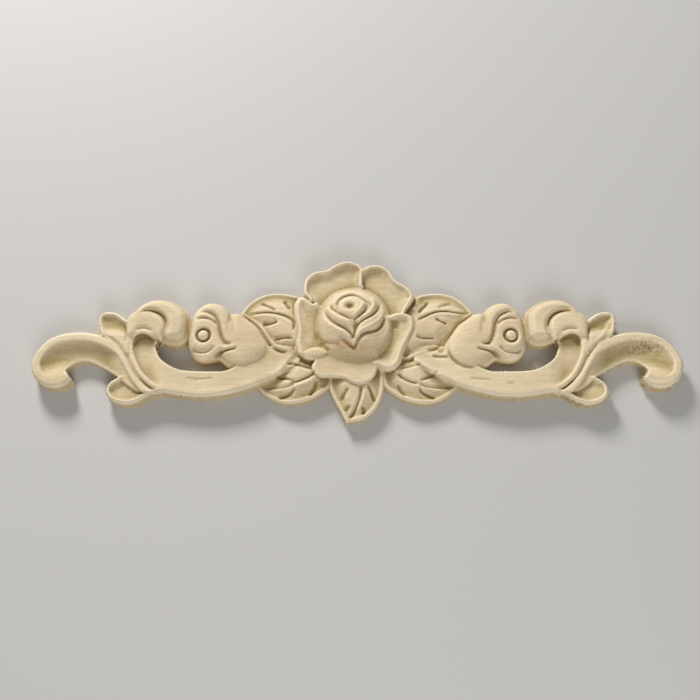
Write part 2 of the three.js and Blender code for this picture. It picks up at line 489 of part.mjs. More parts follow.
const hook = rimmed(HOOK_OUTER, HOOK_INNER, {
  edge: HOOK_EDGE,
  crest: SCROLL_CREST,
  rise: RIM_RISE,
  rim: HOOK_RIM_WIDTH,
  cove: HOOK_COVE,
  coveAt: hookChannel,
});
const band = rimmed(BAND_OUTER, BAND_INNER, {
  edge: BAND_EDGE,
  crest: SCROLL_CREST,
  rise: RIM_RISE,
  rim: BAND_RIM_WIDTH,
  cove: BAND_COVE,
  coveWidth: BAND_RIM_WIDTH,
  coveAt: bandChannel,
});
const lobe = { rise: RIM_RISE, rim: LOBE_RIM_WIDTH, cove: LOBE_COVE, coveWidth: LOBE_COVE_WIDTH };
const tongue = rimmed(TONGUE, TONGUE_ROOT, {
  ...lobe,
  edge: TONGUE_EDGE,
  crest: TONGUE_CREST,
  coveAt: tongueChannel,
});
const foot = rimmed(FOOT, FOOT_ROOT, { ...lobe, edge: FOOT_EDGE, crest: FOOT_CREST });
const crescent = rimmed(CRESCENT, CRESCENT_INNER, {
  edge: VOLUTE_EDGE,
  crest: VOLUTE_CREST,
  rise: VOLUTE_ROUND,
  rim: VOLUTE_ROUND,
  cove: 0,
});
const ball = pillow(BALL, BALL_EDGE, VOLUTE_CREST, BALL_ROUND);
const calyx = pillow(CALYX, CALYX_EDGE, CALYX_CREST, CALYX_ROUND);
const bud = pillow(BUD, BUD_EDGE, BUD_CREST, BUD_ROUND);
const upperLeaf = leaf(UPPER_LEAF, UPPER_LEAF_CLIMB);
const lowerLeaf = leaf(LOWER_LEAF, LOWER_LEAF_CLIMB);
const bottomLeaf = leaf(BOTTOM_LEAF, BOTTOM_LEAF_CLIMB);
const dished = {
  edge: PETAL_EDGE,
  crest: PETAL_CREST,
  rise: PETAL_RIM_RISE,
  rim: PETAL_RIM_WIDTH,
  cove: PETAL_COVE,
  coveWidth: PETAL_COVE_WIDTH,
};
const rolled = {
  edge: PETAL_EDGE - 4 * PETAL_DROP,
  crest: PETAL_CREST - PETAL_DROP,
  rise: PETAL_ROLL_RISE,
  rim: PETAL_ROLL_WIDTH,
  cove: PETAL_ROLL_COVE,
  coveWidth: PETAL_COVE_WIDTH,
  hollow: arch,
};
const flat = {
  ...dished,
  edge: PETAL_EDGE - 2 * PETAL_DROP,
  crest: PETAL_CREST - 4 * PETAL_DROP,
  cove: FLAT_COVE_SHARE * PETAL_COVE,
};
const petals = [
  rimmed(PETAL_TOP_LEFT, PETAL_TOP_LEFT_ROOT, dished),
  rimmed(PETAL_TOP_RIGHT, PETAL_TOP_RIGHT_ROOT, { ...dished, coveAt: rightFold }),
  rimmed(PETAL_RIGHT, PETAL_RIGHT_ROOT, rolled),
  rimmed(PETAL_BOTTOM, PETAL_BOTTOM_ROOT, flat),
  rimmed(PETAL_LEFT, PETAL_LEFT_ROOT, rolled),
];
const petalLip = pillow(PETAL_LIP, rolled.edge, rolled.crest, LIP_ROUND);
const bulb = region(BULB);

const halfLines = BOTH_SIDES.map(drawnLine);
const wholeLines = [...LEFT_LEAVES, ...RIGHT_LEAVES, ...LOWER_LEAVES, ...ROSE_LINES].map(drawnLine);
const halfForms = [hook, band, tongue, foot, crescent, ball, calyx, bud, upperLeaf, lowerLeaf];
const middleForms = [bottomLeaf, ...petals, petalLip];

// The body of the rose's bulb, before its petals are cut
function bulbHeight(x, y) {
  const depth = bulb.depth(x, y);
  if (depth < 0) {
    return BULB_FOOT + STEP_SLOPE * depth;
  }
  return BULB_FOOT + (CROWN_HEIGHT - BULB_FOOT) * arch(depth / BULB_ROUND) - rosePit(x, y);
}

// The higher of two forms, with a hollow fillet where they cross
function blended(one, other, fillet) {
  const least = -2 * REACH;
  const gap = Math.abs(Math.max(one, least) - Math.max(other, least));
  return Math.max(one, other) + Math.max(fillet - gap, 0) ** 2 / (4 * fillet);
}

// How far a plan point lies in from the outline of the whole carving
function depthAt(x, y) {
  const half = halfForms.map((form) => form.depth(Math.abs(x), y));
  const middle = middleForms.map((form) => form.depth(x, y));
  return Math.max(...half, ...middle, bulb.depth(x, y));
}

// The carved surface over a plan point: the highest form there, with the lines cut in it
function heightAt(x, y) {
  const side = Math.abs(x);
  const planX = side / SCALE;
  const sides = [hook, tongue, crescent, calyx, upperLeaf, lowerLeaf]
    .map((form) => form.height(side, y));
  const middle = middleForms.map((form) => form.height(x, y));
  const highest = Math.max(
    ...sides,
    ...middle,
    band.height(side, y) - bandSink(planX),
    ball.height(side, y) - ballSink(planX, y / SCALE),
    bud.height(side, y) + budEye(side, y),
  );
  const footed = blended(highest, foot.height(side, y), FOOT_FILLET);
  const top = blended(footed, bulbHeight(x, y), BULB_FILLET);
  const sideLines = halfLines.reduce((sum, line) => sum + line(side, y), 0);
  const lines = wholeLines.reduce((sum, line) => sum + line(x, y), sideLines);
  return Math.max(top + lines, LEAST_HEIGHT);
}

// Heights and depths sampled once on an even grid that covers the plan
function sampleGrid() {
  const chains = [HOOK_OUTER, BOTTOM_LEAF, PETAL_TOP_LEFT];
  const ys = chains.flat().map((point) => point[1] * SCALE);
  const halfWidth = LENGTH / 2 + GRID_MARGIN;
  const low = Math.min(...ys) - GRID_MARGIN;
  const high = Math.max(...ys) + GRID_MARGIN;
  const columns = Math.ceil((2 * halfWidth) / SAMPLE_STEP) + 1;
  const rows = Math.ceil((high - low) / SAMPLE_STEP) + 1;
  const depth = new Float64Array(columns * rows);
  const height = new Float64Array(columns * rows);
  for (let row = 0; row < rows; row += 1) {
    for (let column = 0; column < columns; column += 1) {
      const x = -halfWidth + column * SAMPLE_STEP;
      const y = low + row * SAMPLE_STEP;
      const at = row * columns + column;
      depth[at] = depthAt(x, y);
      height[at] = depth[at] > 0 ? heightAt(x, y) : 0;
    }
  }
  return { left: -halfWidth, low, columns, rows, depth, height };
}

// The closed lines where the depth is zero, with the carving on their left hand
function traceOutline(grid) {
  const next = new Map();
  const places = new Map();
  const crossing = (a, b) => {
    const key = a < b ? `${a}:${b}` : `${b}:${a}`;
    if (!places.has(key)) {
      const t = grid.depth[a] / (grid.depth[a] - grid.depth[b]);
      const ax = grid.left + (a % grid.columns) * SAMPLE_STEP;
      const ay = grid.low + Math.floor(a / grid.columns) * SAMPLE_STEP;
      const bx = grid.left + (b % grid.columns) * SAMPLE_STEP;
      const by = grid.low + Math.floor(b / grid.columns) * SAMPLE_STEP;
      places.set(key, [ax + t * (bx - ax), ay + t * (by - ay)]);
    }
    return key;
  };
  for (let row = 0; row < grid.rows - 1; row += 1) {
    for (let column = 0; column < grid.columns - 1; column += 1) {
      const at = row * grid.columns + column;
      const ring = [at, at + 1, at + 1 + grid.columns, at + grid.columns];
      const full = ring.map((corner) => grid.depth[corner] > 0);
      const leaving = [];
      const entering = [];
      for (let i = 0; i < 4; i += 1) {
        const j = (i + 1) % 4;
        if (full[i] && !full[j]) {
          leaving.push(crossing(ring[i], ring[j]));
        }
        if (!full[i] && full[j]) {
          entering.push(crossing(ring[i], ring[j]));
        }
      }
      leaving.forEach((key, i) => next.set(key, entering[i]));
    }
  }
  const loops = [];
  while (next.size > 0) {
    const [start] = next.keys();
    const loop = [];
    let key = start;
    while (next.has(key)) {
      loop.push(places.get(key));
      const following = next.get(key);
      next.delete(key);
      key = following;
    }
    loops.push(loop);
  }
  return loops;
}

function signedArea(loop) {
  return THREE.ShapeUtils.area(loop.map(([x, y]) => new THREE.Vector2(x, y)));
}

// Keep only the points of a loop that its shape needs, and none too far apart
function thinLoop(loop) {
  const kept = [];
  const split = (from, to) => {
    const [ax, ay] = loop[from];
    const [bx, by] = loop[to % loop.length];
    const run = Math.hypot(bx - ax, by - ay);
    let worst = 0;
    let middle = Math.floor((from + to) / 2);
    for (let i = from + 1; i < to; i += 1) {
      const [x, y] = loop[i];
      const off = run > 0
        ? Math.abs((bx - ax) * (y - ay) - (by - ay) * (x - ax)) / run
        : Math.hypot(x - ax, y - ay);
      if (off > worst) {
        worst = off;
        middle = worst > OUTLINE_TOLERANCE ? i : middle;
      }
    }
    if (to - from > 1 && (worst > OUTLINE_TOLERANCE || run > OUTLINE_STEP)) {
      split(from, middle);
      split(middle, to);
    } else {
      kept.push(loop[from]);
    }
  };
  const half = Math.floor(loop.length / 2);
  split(0, half);
  split(half, loop.length);
  return kept;
}

// A triangle mesh over the plan that stays Delaunay as points are added
class Net {
  constructor(points, faces) {
    this.points = points;
    this.faces = faces.map((face) => [...face]);
    this.links = this.faces.map(() => [-1, -1, -1]);
    this.changed = new Set();
    const open = new Map();
    this.faces.forEach((face, index) => {
      for (let side = 0; side < 3; side += 1) {
        const a = face[(side + 1) % 3];
        const b = face[(side + 2) % 3];
        const twin = open.get(`${b}:${a}`);
        if (twin) {
          this.links[index][side] = twin[0];
          this.links[twin[0]][twin[1]] = index;
        } else {
          open.set(`${a}:${b}`, [index, side]);
        }
      }
    });
    this.settle(this.faces.flatMap((face, index) => [0, 1, 2].map((side) => [index, side])));
  }

  // Turn each listed edge whose far corner lies in the circle through its own triangle
  settle(edges) {
    while (edges.length > 0) {
      const [face, side] = edges.pop();
      const other = this.links[face][side];
      if (other >= 0) {
        const back = this.links[other].indexOf(face);
        const apex = this.faces[face][side];
        const far = this.faces[other][back];
        if (this.inCircle(this.faces[face], far)) {
          this.turn(face, side, other, back, apex, far);
          edges.push([face, 0], [face, 1], [face, 2], [other, 0], [other, 1], [other, 2]);
        }
      }
    }
  }

  inCircle(face, far) {
    const [px, py] = this.points[far];
    const rows = face.map((corner) => {
      const dx = this.points[corner][0] - px;
      const dy = this.points[corner][1] - py;
      return [dx, dy, dx * dx + dy * dy];
    });
    const [a, b, c] = rows;
    const volume = a[0] * (b[1] * c[2] - c[1] * b[2])
      - a[1] * (b[0] * c[2] - c[0] * b[2])
      + a[2] * (b[0] * c[1] - c[0] * b[1]);
    return volume > TINY;
  }

  turn(face, side, other, back, apex, far) {
    const left = this.faces[face][(side + 1) % 3];
    const right = this.faces[face][(side + 2) % 3];
    const faceRight = this.links[face][(side + 1) % 3];
    const faceLeft = this.links[face][(side + 2) % 3];
    const otherLeft = this.links[other][(back + 1) % 3];
    const otherRight = this.links[other][(back + 2) % 3];
    this.faces[face] = [apex, left, far];
    this.links[face] = [otherLeft, other, faceLeft];
    this.faces[other] = [apex, far, right];
    this.links[other] = [otherRight, faceRight, face];
    this.relink(otherLeft, other, face);
    this.relink(faceRight, face, other);
    this.changed.add(face).add(other);
  }

  relink(face, from, to) {
    if (face >= 0) {
      this.links[face][this.links[face].indexOf(from)] = to;
    }
  }

  insert(face, point) {
    const [a, b, c] = this.faces[face];
    const [linkA, linkB, linkC] = this.links[face];
    const added = this.points.length;
    const second = this.faces.length;
    const third = second + 1;
    this.points.push(point);
    this.faces[face] = [a, b, added];
    this.faces.push([b, c, added], [c, a, added]);
    this.links[face] = [second, third, linkC];
    this.links.push([third, face, linkA], [face, second, linkB]);
    this.relink(linkA, face, second);
    this.relink(linkB, face, third);
    this.changed.add(face).add(second).add(third);
    this.settle([[face, 2], [second, 2], [third, 2]]);
  }
}

// The sample in a triangle that lies furthest off it, measured square to the surface
function worstSample(grid, net, face) {
  const [a, b, c] = net.faces[face].map((corner) => net.points[corner]);
  const area = (b[0] - a[0]) * (c[1] - a[1]) - (b[1] - a[1]) * (c[0] - a[0]);
  const column = (x) => Math.round((x - grid.left) / SAMPLE_STEP);
  const row = (y) => Math.round((y - grid.low) / SAMPLE_STEP);
  const columns = [column(Math.min(a[0], b[0], c[0])), column(Math.max(a[0], b[0], c[0]))];
  const rows = [row(Math.min(a[1], b[1], c[1])), row(Math.max(a[1], b[1], c[1]))];
  const worst = { error: 0, face, point: null };
  for (let j = rows[0]; j <= rows[1]; j += 1) {
    for (let i = columns[0]; i <= columns[1]; i += 1) {
      const at = j * grid.columns + i;
      const x = grid.left + i * SAMPLE_STEP;
      const y = grid.low + j * SAMPLE_STEP;
      const shareB = ((x - a[0]) * (c[1] - a[1]) - (y - a[1]) * (c[0] - a[0])) / area;
      const shareC = ((b[0] - a[0]) * (y - a[1]) - (b[1] - a[1]) * (x - a[0])) / area;
      const least = Math.min(shareB, shareC, 1 - shareB - shareC);
      if (least > INNER_SHARE && grid.depth[at] > SAMPLE_STEP / 2) {
        const flat = a[2] + shareB * (b[2] - a[2]) + shareC * (c[2] - a[2]);
        const height = grid.height[at];
        const slopeX = (grid.height[at + 1] - grid.height[at - 1]) / (2 * SAMPLE_STEP);
        const above = grid.height[at + grid.columns];
        const below = grid.height[at - grid.columns];
        const slopeY = (above - below) / (2 * SAMPLE_STEP);
        const slope = clamp(Math.hypot(slopeX, slopeY), 0, STEP_SLOPE);
        const error = Math.abs(height - flat) / Math.hypot(1, slope);
        if (error > worst.error) {
          worst.error = error;
          worst.point = [x, y, height];
        }
      }
    }
  }
  return worst;
}

// Add the worst samples round by round until the surface has its points
function refine(net, grid) {
  let candidates = net.faces.map((face, index) => worstSample(grid, net, index));
  while (net.points.length < SURFACE_POINTS) {
    const ranked = candidates
      .filter((candidate) => candidate.point)
      .sort((p, q) => q.error - p.error);
    const share = Math.ceil(ranked.length * ROUND_SHARE);
    net.changed.clear();
    ranked.slice(0, share).forEach((candidate) => {
      if (!net.changed.has(candidate.face) && net.points.length < SURFACE_POINTS) {
        net.insert(candidate.face, candidate.point);
      }
    });
    candidates = net.faces.map((face, index) => (
      net.changed.has(index) ? worstSample(grid, net, index) : candidates[index]
    ));
  }
}

// The solid: the carved top, straight walls down from the outline, and the flat back
function carvedSolid() {
  const grid = sampleGrid();
  const loops = traceOutline(grid)
    .filter((loop) => Math.abs(signedArea(loop)) > LEAST_HOLE)
    .map(thinLoop)
    .sort((p, q) => Math.abs(signedArea(q)) - Math.abs(signedArea(p)));
  const outline = loops.flat();
  const asVectors = loops.map((loop) => loop.map(([x, y]) => new THREE.Vector2(x, y)));
  const plan = THREE.ShapeUtils.triangulateShape(asVectors[0], asVectors.slice(1));
  const net = new Net(outline.map(([x, y]) => [x, y, heightAt(x, y)]), plan);
  refine(net, grid);

  const back = net.points.length;
  const positions = [...net.points, ...outline.map(([x, y]) => [x, y, 0])].flat();
  const indices = net.faces.flat();
  plan.forEach(([a, b, c]) => indices.push(back + a, back + c, back + b));
  let first = 0;
  loops.forEach((loop) => {
    for (let i = 0; i < loop.length; i += 1) {
      const a = first + i;
      const b = first + ((i + 1) % loop.length);
      indices.push(a, back + b, b, a, back + a, back + b);
    }
    first += loop.length;
  });
  const geometry = new THREE.BufferGeometry();
  geometry.setAttribute('position', new THREE.Float32BufferAttribute(positions, 3));
  geometry.setIndex(indices);
  geometry.computeVertexNormals();
  return geometry;
}

const wood = new THREE.MeshStandardMaterial({ color: 0xdcc8a0, roughness: 0.75, metalness: 0 });
const applique = new THREE.Mesh(carvedSolid(), wood);
applique.name = 'carved_applique';

const part = new THREE.Group();
part.add(applique);

export default part;
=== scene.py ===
"""Carved wood applique: the bare wood carving lying on its back under soft studio light."""
import math

import bmesh
import bpy
import numpy as np
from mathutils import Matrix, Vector


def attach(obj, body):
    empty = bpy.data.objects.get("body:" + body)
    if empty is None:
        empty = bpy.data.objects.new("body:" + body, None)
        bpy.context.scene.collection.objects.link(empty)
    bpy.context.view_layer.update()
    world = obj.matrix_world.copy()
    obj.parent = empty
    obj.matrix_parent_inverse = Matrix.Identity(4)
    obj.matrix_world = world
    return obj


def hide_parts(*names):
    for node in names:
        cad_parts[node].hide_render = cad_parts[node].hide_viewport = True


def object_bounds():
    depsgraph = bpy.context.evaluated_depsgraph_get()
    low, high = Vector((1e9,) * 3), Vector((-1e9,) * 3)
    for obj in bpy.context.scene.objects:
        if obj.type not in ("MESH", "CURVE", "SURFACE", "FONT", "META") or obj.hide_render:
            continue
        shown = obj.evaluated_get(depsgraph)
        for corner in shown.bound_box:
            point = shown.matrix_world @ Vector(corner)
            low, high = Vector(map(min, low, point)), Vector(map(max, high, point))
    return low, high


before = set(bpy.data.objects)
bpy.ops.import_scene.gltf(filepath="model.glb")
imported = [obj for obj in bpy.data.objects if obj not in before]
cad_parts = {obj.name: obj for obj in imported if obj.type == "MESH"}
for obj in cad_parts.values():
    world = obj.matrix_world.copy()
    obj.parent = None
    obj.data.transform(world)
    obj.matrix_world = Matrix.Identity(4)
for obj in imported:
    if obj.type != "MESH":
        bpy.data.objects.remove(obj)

cad_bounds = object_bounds()

MM = 0.001
NODE = "carved_applique"

# Heights above the flat back and widths on the plan, in millimetres
CROWN_HEIGHT = 11.0
SCROLL_CREST = 6.1
HOOK_EDGE = 4.9
HOOK_RISE = 1.1
HOOK_RIM_WIDTH = 2.7
HOOK_COVE = 2.7
BAND_EDGE = 5.3
BAND_RISE = 0.9
BAND_RIM_WIDTH = 1.8
BAND_COVE = 1.5
FOOT_CREST = 5.6
FOOT_EDGE = 4.6
FOOT_RISE = 0.9
FOOT_RIM_WIDTH = 1.0
FOOT_COVE_WIDTH = 2.2
FOOT_FILLET = 1.6
TONGUE_CREST = 6.3
TONGUE_EDGE = 5.2
TONGUE_RISE = 0.8
TONGUE_RIM_WIDTH = 0.9
TONGUE_COVE_WIDTH = 2.4
LOBE_COVE = 1.4
VOLUTE_CREST = 7.6
VOLUTE_EDGE = 3.8
VOLUTE_ROUND = 3.2
BALL_EDGE = 6.3
BALL_ROUND = 4.4
BUD_CREST = 7.2
BUD_EDGE = 2.4
BUD_ROUND = 3.6
EYE_RADIUS = 2.0
EYE_CUT_WIDTH = 0.9
EYE_CUT = 1.2
EYE_BOSS = 0.4
CALYX_CREST = 7.4
CALYX_EDGE = 3.6
CALYX_ROUND = 6.5
LEAF_EDGE = 2.6
LEAF_RIM = 0.9
LEAF_RIM_WIDTH = 0.7
LEAF_SWELL = 1.2
LEAF_SWELL_WIDTH = 4
LEAF_ROOT_RISE = 0.5
PETAL_CREST = 7.1
PETAL_EDGE = 6.2
PETAL_DROP = 0.2
PETAL_RIM_RISE = 0.6
PETAL_RIM_WIDTH = 0.9
PETAL_COVE = 1.5
PETAL_COVE_WIDTH = 3.2
FLAT_PETAL_COVE = 0.15
ROLLED_PETAL_RISE = 1.6
ROLLED_PETAL_RIM = 1.4
ROLLED_PETAL_COVE = 1.1
LIP_ROUND = 1.8
BULB_FOOT = 5.5
BULB_ROUND = 10.5
BULB_FILLET = 1.8
ROSE_PIT_DEPTH = 1.7
FILLET = 0.25
LEAST_HEIGHT = 1.5

# Slopes, shares and exponents
STEP_SLOPE = 5
LEAF_DIP_SHARE = 0.5
LINE_SPREAD = 1.25
LINE_END_FADE = 6
LINE_HOLLOWNESS = 1.4

# Where forms change along the drawn plan: start, run and, for two channels, the least share
HOOK_CHANNEL = (69, 8, 0.4)
HOOK_TIP_FADE = (2.5, 7)
BAND_CHANNEL = (57, 6.5, 0.1)
TONGUE_CHANNEL = (0.5, 4)
BAND_SINK = (33, 10)
LEAF_ROOT = (23, 6)
# Folds that deepen both downwards and outwards: top, drop, start, run and depth
RIGHT_FOLD = (13, 4, 12.5, 2, 0.3)
BALL_SINK = (2, 3, 65.5, 2.5, 1.3)
# How leaves climb towards the rose: rise, starting y and run
UPPER_LEAF_CLIMB = (1.3, 12, -9)
LOWER_LEAF_CLIMB = (0.5, -19, 9)
BOTTOM_LEAF_CLIMB = (0.8, -24, 12)

# Fineness of the carved surface. Lengths are in millimetres and the angle is in degrees.
GRID_STEP = 0.27
GRID_MARGIN = 2.0
CURVE_STEPS = 5
REACH = 4.0
LOWEST = -9
TOUCH = 0.01
LIVE_STEPS = 4
WALL_ROWS = 5
SHARP_ANGLE = 55
SHORTEST_SQUARE = 1e-12
TINY = 1e-9
LEAST_SPAN = 1e-6

# Tool marks and torn fibres, in millimetres, but for MARK_SIZE in steps of the grid
TOOL_RADIUS = 0.14
TOOL_ROUGHNESS = 0.025
CHATTER_ROUGHNESS = 0.17
MARK_SIZE = 0.6
MARK_SEED = 5
FIBRE_SEED = 11
FIBRE_REACH = (0.15, 0.9)
FIBRE_SCATTER = 0.25

# How the painted shade in furrows, hollows and on walls and the painted highlights on crests follow
# the form: radii and margin in millimetres, then strengths
TONE_RADIUS = 0.5
HOLLOW_SHADE_RADIUS = 2.4
TONE_MARGIN = 1.6
OUTLINE_HIGHLIGHT_SHARE = 0.45
# Tones on the walls: no furrow shade or highlight, a share of the painted olive shade, no orange
# patch
WALL_SHADE_TONES = (0.0, -0.22, 0.0)

DARK_WOOD = (0.62, 0.485, 0.295, 1)
LIGHT_WOOD = (0.75, 0.625, 0.42, 1)
# Painted shade in broad hollows and on walls
OLIVE_PAINTED_SHADE = (0.41, 0.32, 0.13, 1)
RUSTY_WOOD = (0.60, 0.29, 0.08, 1)
# Painted shade in narrow furrows
FURROW_PAINTED_SHADE = (0.29, 0.185, 0.075, 1)
# Painted highlight on crests
PAINTED_HIGHLIGHT_WOOD = (0.93, 0.85, 0.66, 1)
# Noise scales along, across and through the board, in cycles per metre
GRAIN_SCALE = (70, 1500, 1500)
CLOUD_SCALE = (30, 90, 90)
PORE_SCALE = (420, 3800, 3800)
SPECKLE_SCALE = (2600, 2600, 2600)
BUMP_STRENGTH = 0.4
BUMP_DISTANCE = 0.00015

# Studio: lights by name, place, size, power and colour, in metres and watts. The camera's
# elevation is in degrees, and its lens and sensor are in millimetres.
LIGHTS = [
    ("key", (-0.26, 0.62, 0.36), 0.2, 6.2, (1.0, 0.98, 0.95)),
    ("fill", (0.10, -0.55, 0.42), 0.4, 2.2, (1.0, 0.99, 0.97)),
]
WORLD_COLOUR = (0.95, 0.93, 0.90, 1)
WORLD_STRENGTH = 0.27
FLOOR_HALF = 3.0
FLOOR_COLOUR = (0.55, 0.545, 0.535, 1)
FLOOR_ROUGHNESS = 0.7
CAMERA_ELEVATION = 70
CAMERA_DISTANCE = 0.3052
CAMERA_TARGET = (-0.00220, -0.00167, 0.0)
CAMERA_LENS = 50
CAMERA_SENSOR = 36

# Half plan, mirrored about x = 0. The outlines are drawn at a size of their own and scaled to
# the length. A point given twice is a sharp corner.
HOOK_OUTER = [(60.5, -16.4), (64.5, -12.4), (67.6, -7.2), (71.2, -2.4), (77.8, 1.2), (84.5, 2.35),
              (91, 1.3), (95.4, -1.8), (98, -6.8), (97.5, -10.8), (95.5, -13.5), (92.6, -15.1),
              (89.6, -15.3), (87.3, -14.3), (85.6, -12.6)]
HOOK_INNER = [(85.6, -12.6), (86.9, -11.2), (87.6, -9.4), (85.4, -7), (82, -6.4), (77, -8.4),
              (71.6, -12), (68.4, -14.6), (64.6, -16.6)]
TONGUE = [(77.8, 1.2), (78.8, 5), (78.6, 7.6), (76.8, 8.8), (73.6, 8.4), (70.2, 6)]
TONGUE_ROOT = [(70.2, 6), (69, 0), (69.3, -5), (72.2, -2.4), (77.8, 1.2)]
BAND_OUTER = [(69.9, 5.5), (69.8, 0), (69.6, -4), (67.9, -8.4), (65.3, -12.6), (61, -16.1),
              (57, -17), (51, -17.9), (46, -18.2), (40, -17.6), (34, -16), (30.4, -14.7),
              (24, -11.5), (18, -8)]
BAND_INNER = [(18, -3), (27, -2), (32, -6), (39, -10.1), (46, -10.5), (52.5, -10.1), (56.2, -8.7),
              (59.6, -6), (61.3, -2), (61.4, 0.6)]
FOOT = [(71.6, -12), (74.2, -13.8), (75, -16.6), (73.2, -19.2), (69.2, -20.5), (65.6, -19.7),
        (62, -17.5), (58.5, -17)]
FOOT_ROOT = [(58.5, -15.5), (60.5, -14.5), (66, -11.5), (71.6, -12)]
CRESCENT = [(69.9, 6), (68, 10.1), (64.4, 12.8), (60, 13.4), (55.5, 12), (52, 9), (51.1, 5),
            (51.6, 0.8), (53.4, -1.1), (56.4, -1.5), (59.4, -0.5), (61.3, 0.5)]
CRESCENT_INNER = [(61.3, 0.5), (58.8, 1.4), (57.9, 4.4), (58.7, 7), (61.2, 8.8), (65.2, 8.8),
                  (68, 7)]
BALL = [(69.9, 6), (67.8, 8.5), (64.9, 9.9), (61.1, 9.6), (58.3, 7.6), (57.2, 4.6), (57.7, 1.9),
        (59.5, 0), (61.2, 0.4), (63.3, 1.3), (65.4, 1.8), (67.3, 1), (68.2, -1), (69.8, -1)]
CALYX = [(39, 8.3), (35.9, 8.5), (35.9, 8.5), (33, 6.6), (30, 4), (27.8, 0.6), (26.5, -2.5),
         (27.3, -5.6), (30.2, -8.6), (34.5, -10.2), (38.5, -9), (41.3, -6.6), (43, -5), (43, 3)]
BUD = [(51, 6.5), (49.5, 9.6), (46.5, 12), (43.5, 12.2), (40.6, 11), (38.4, 8.2), (37.4, 5),
       (36.5, 1), (35.4, -2.6), (35.4, -2.6), (38.5, -4), (41.3, -5.6), (43.4, -6.6), (46.3, -7),
       (49, -6), (51, -3.4), (51.6, 0), (51.4, 3.5)]
UPPER_LEAF = [(36, 8.7), (36, 8.7), (33.8, 12.2), (30, 15), (25.5, 16.1), (21, 15.7),
              (17.9, 14.6), (14, 14), (9, 10), (9, -2), (14, -6.5), (20.5, -4.3), (24.3, -3.4),
              (27.3, -0.4), (30, 3.8), (33, 6.6)]
LOWER_LEAF = [(30.3, -14.6), (30.3, -14.6), (27.4, -17.4), (23.5, -19.4), (19, -19.8),
              (14.3, -18.7), (10.5, -16.6), (8, -14), (8, -8), (14, -5), (19.5, -4.2), (22, -7.2),
              (24.4, -10.8), (27, -12.9)]

# Whole plan, not mirrored
BOTTOM_LEAF = [(-3.4, -25.6), (-3.4, -25.6), (1.5, -24.7), (5.2, -21.9), (7.4, -17.8), (8, -13.5),
               (6.8, -9), (0, -6), (-7.5, -9), (-8.5, -14.3), (-7.2, -18.4), (-5.2, -22.1)]
PETAL_TOP_LEFT = [(-14.8, 12.6), (-16.2, 14.4), (-16.4, 16.8), (-15.5, 19.8), (-13, 21.8),
                  (-9.5, 22.4), (-7, 24.1), (-3.5, 25.4), (0, 24.7), (2, 22.8), (2, 22.8),
                  (1.7, 20), (1.7, 17.5)]
PETAL_TOP_LEFT_ROOT = [(2.5, 13), (0, 6), (-6, 4), (-12, 8)]
PETAL_TOP_RIGHT = [(2, 22.8), (4.2, 24), (7.5, 23.9), (10.3, 21.8), (12, 19), (15.3, 16.8),
                   (17.3, 14), (16.4, 11.5), (15, 9.2), (14.4, 7.6)]
PETAL_TOP_RIGHT_ROOT = [(12, 4), (6, 3), (0, 8), (0.5, 16)]
PETAL_RIGHT = [(9.4, 7.6), (12.5, 8.6), (15.4, 8.2), (17.3, 6.6), (17.7, 3.5), (16.2, -0.2),
               (14.4, -3.8), (13, -7.8), (10.8, -10), (8.2, -10.2), (6, -9.3)]
PETAL_RIGHT_ROOT = [(3, -5), (4, 2)]
PETAL_BOTTOM = [(6.4, -8), (6, -9.6), (5, -12), (2.6, -14.2), (-0.5, -14.4), (-4.2, -12.7),
                (-8, -12.2), (-11.6, -12), (-13.4, -9.8), (-12.9, -7.4)]
PETAL_BOTTOM_ROOT = [(-9, -2), (4, -1)]
PETAL_LEFT = [(-13.4, 12), (-15.4, 13.4), (-17.8, 13.6), (-19.3, 11), (-19.2, 7), (-18.5, 2.5),
              (-18.8, -1.5), (-18.2, -4.4)]
PETAL_LEFT_ROOT = [(-14, -5.5), (-8, -4), (-7, 5), (-10, 10)]
PETAL_LIP = [(-17.8, -4.5), (-15.6, -3.6), (-12.6, -2.7), (-10, -3.2), (-8.5, -4.8), (-10, -6.1),
             (-12.7, -6.9), (-15.6, -6.4)]
BULB = [(-12.3, 7), (-12.8, 3.5), (-12, 0), (-9.5, -4.3), (-5, -6.9), (1, -7.4), (6, -6.1),
        (9.6, -2), (10.6, 2.5), (9.8, 8), (7.3, 13), (3, 16), (-2, 16.6), (-7, 15), (-10.6, 11.4)]

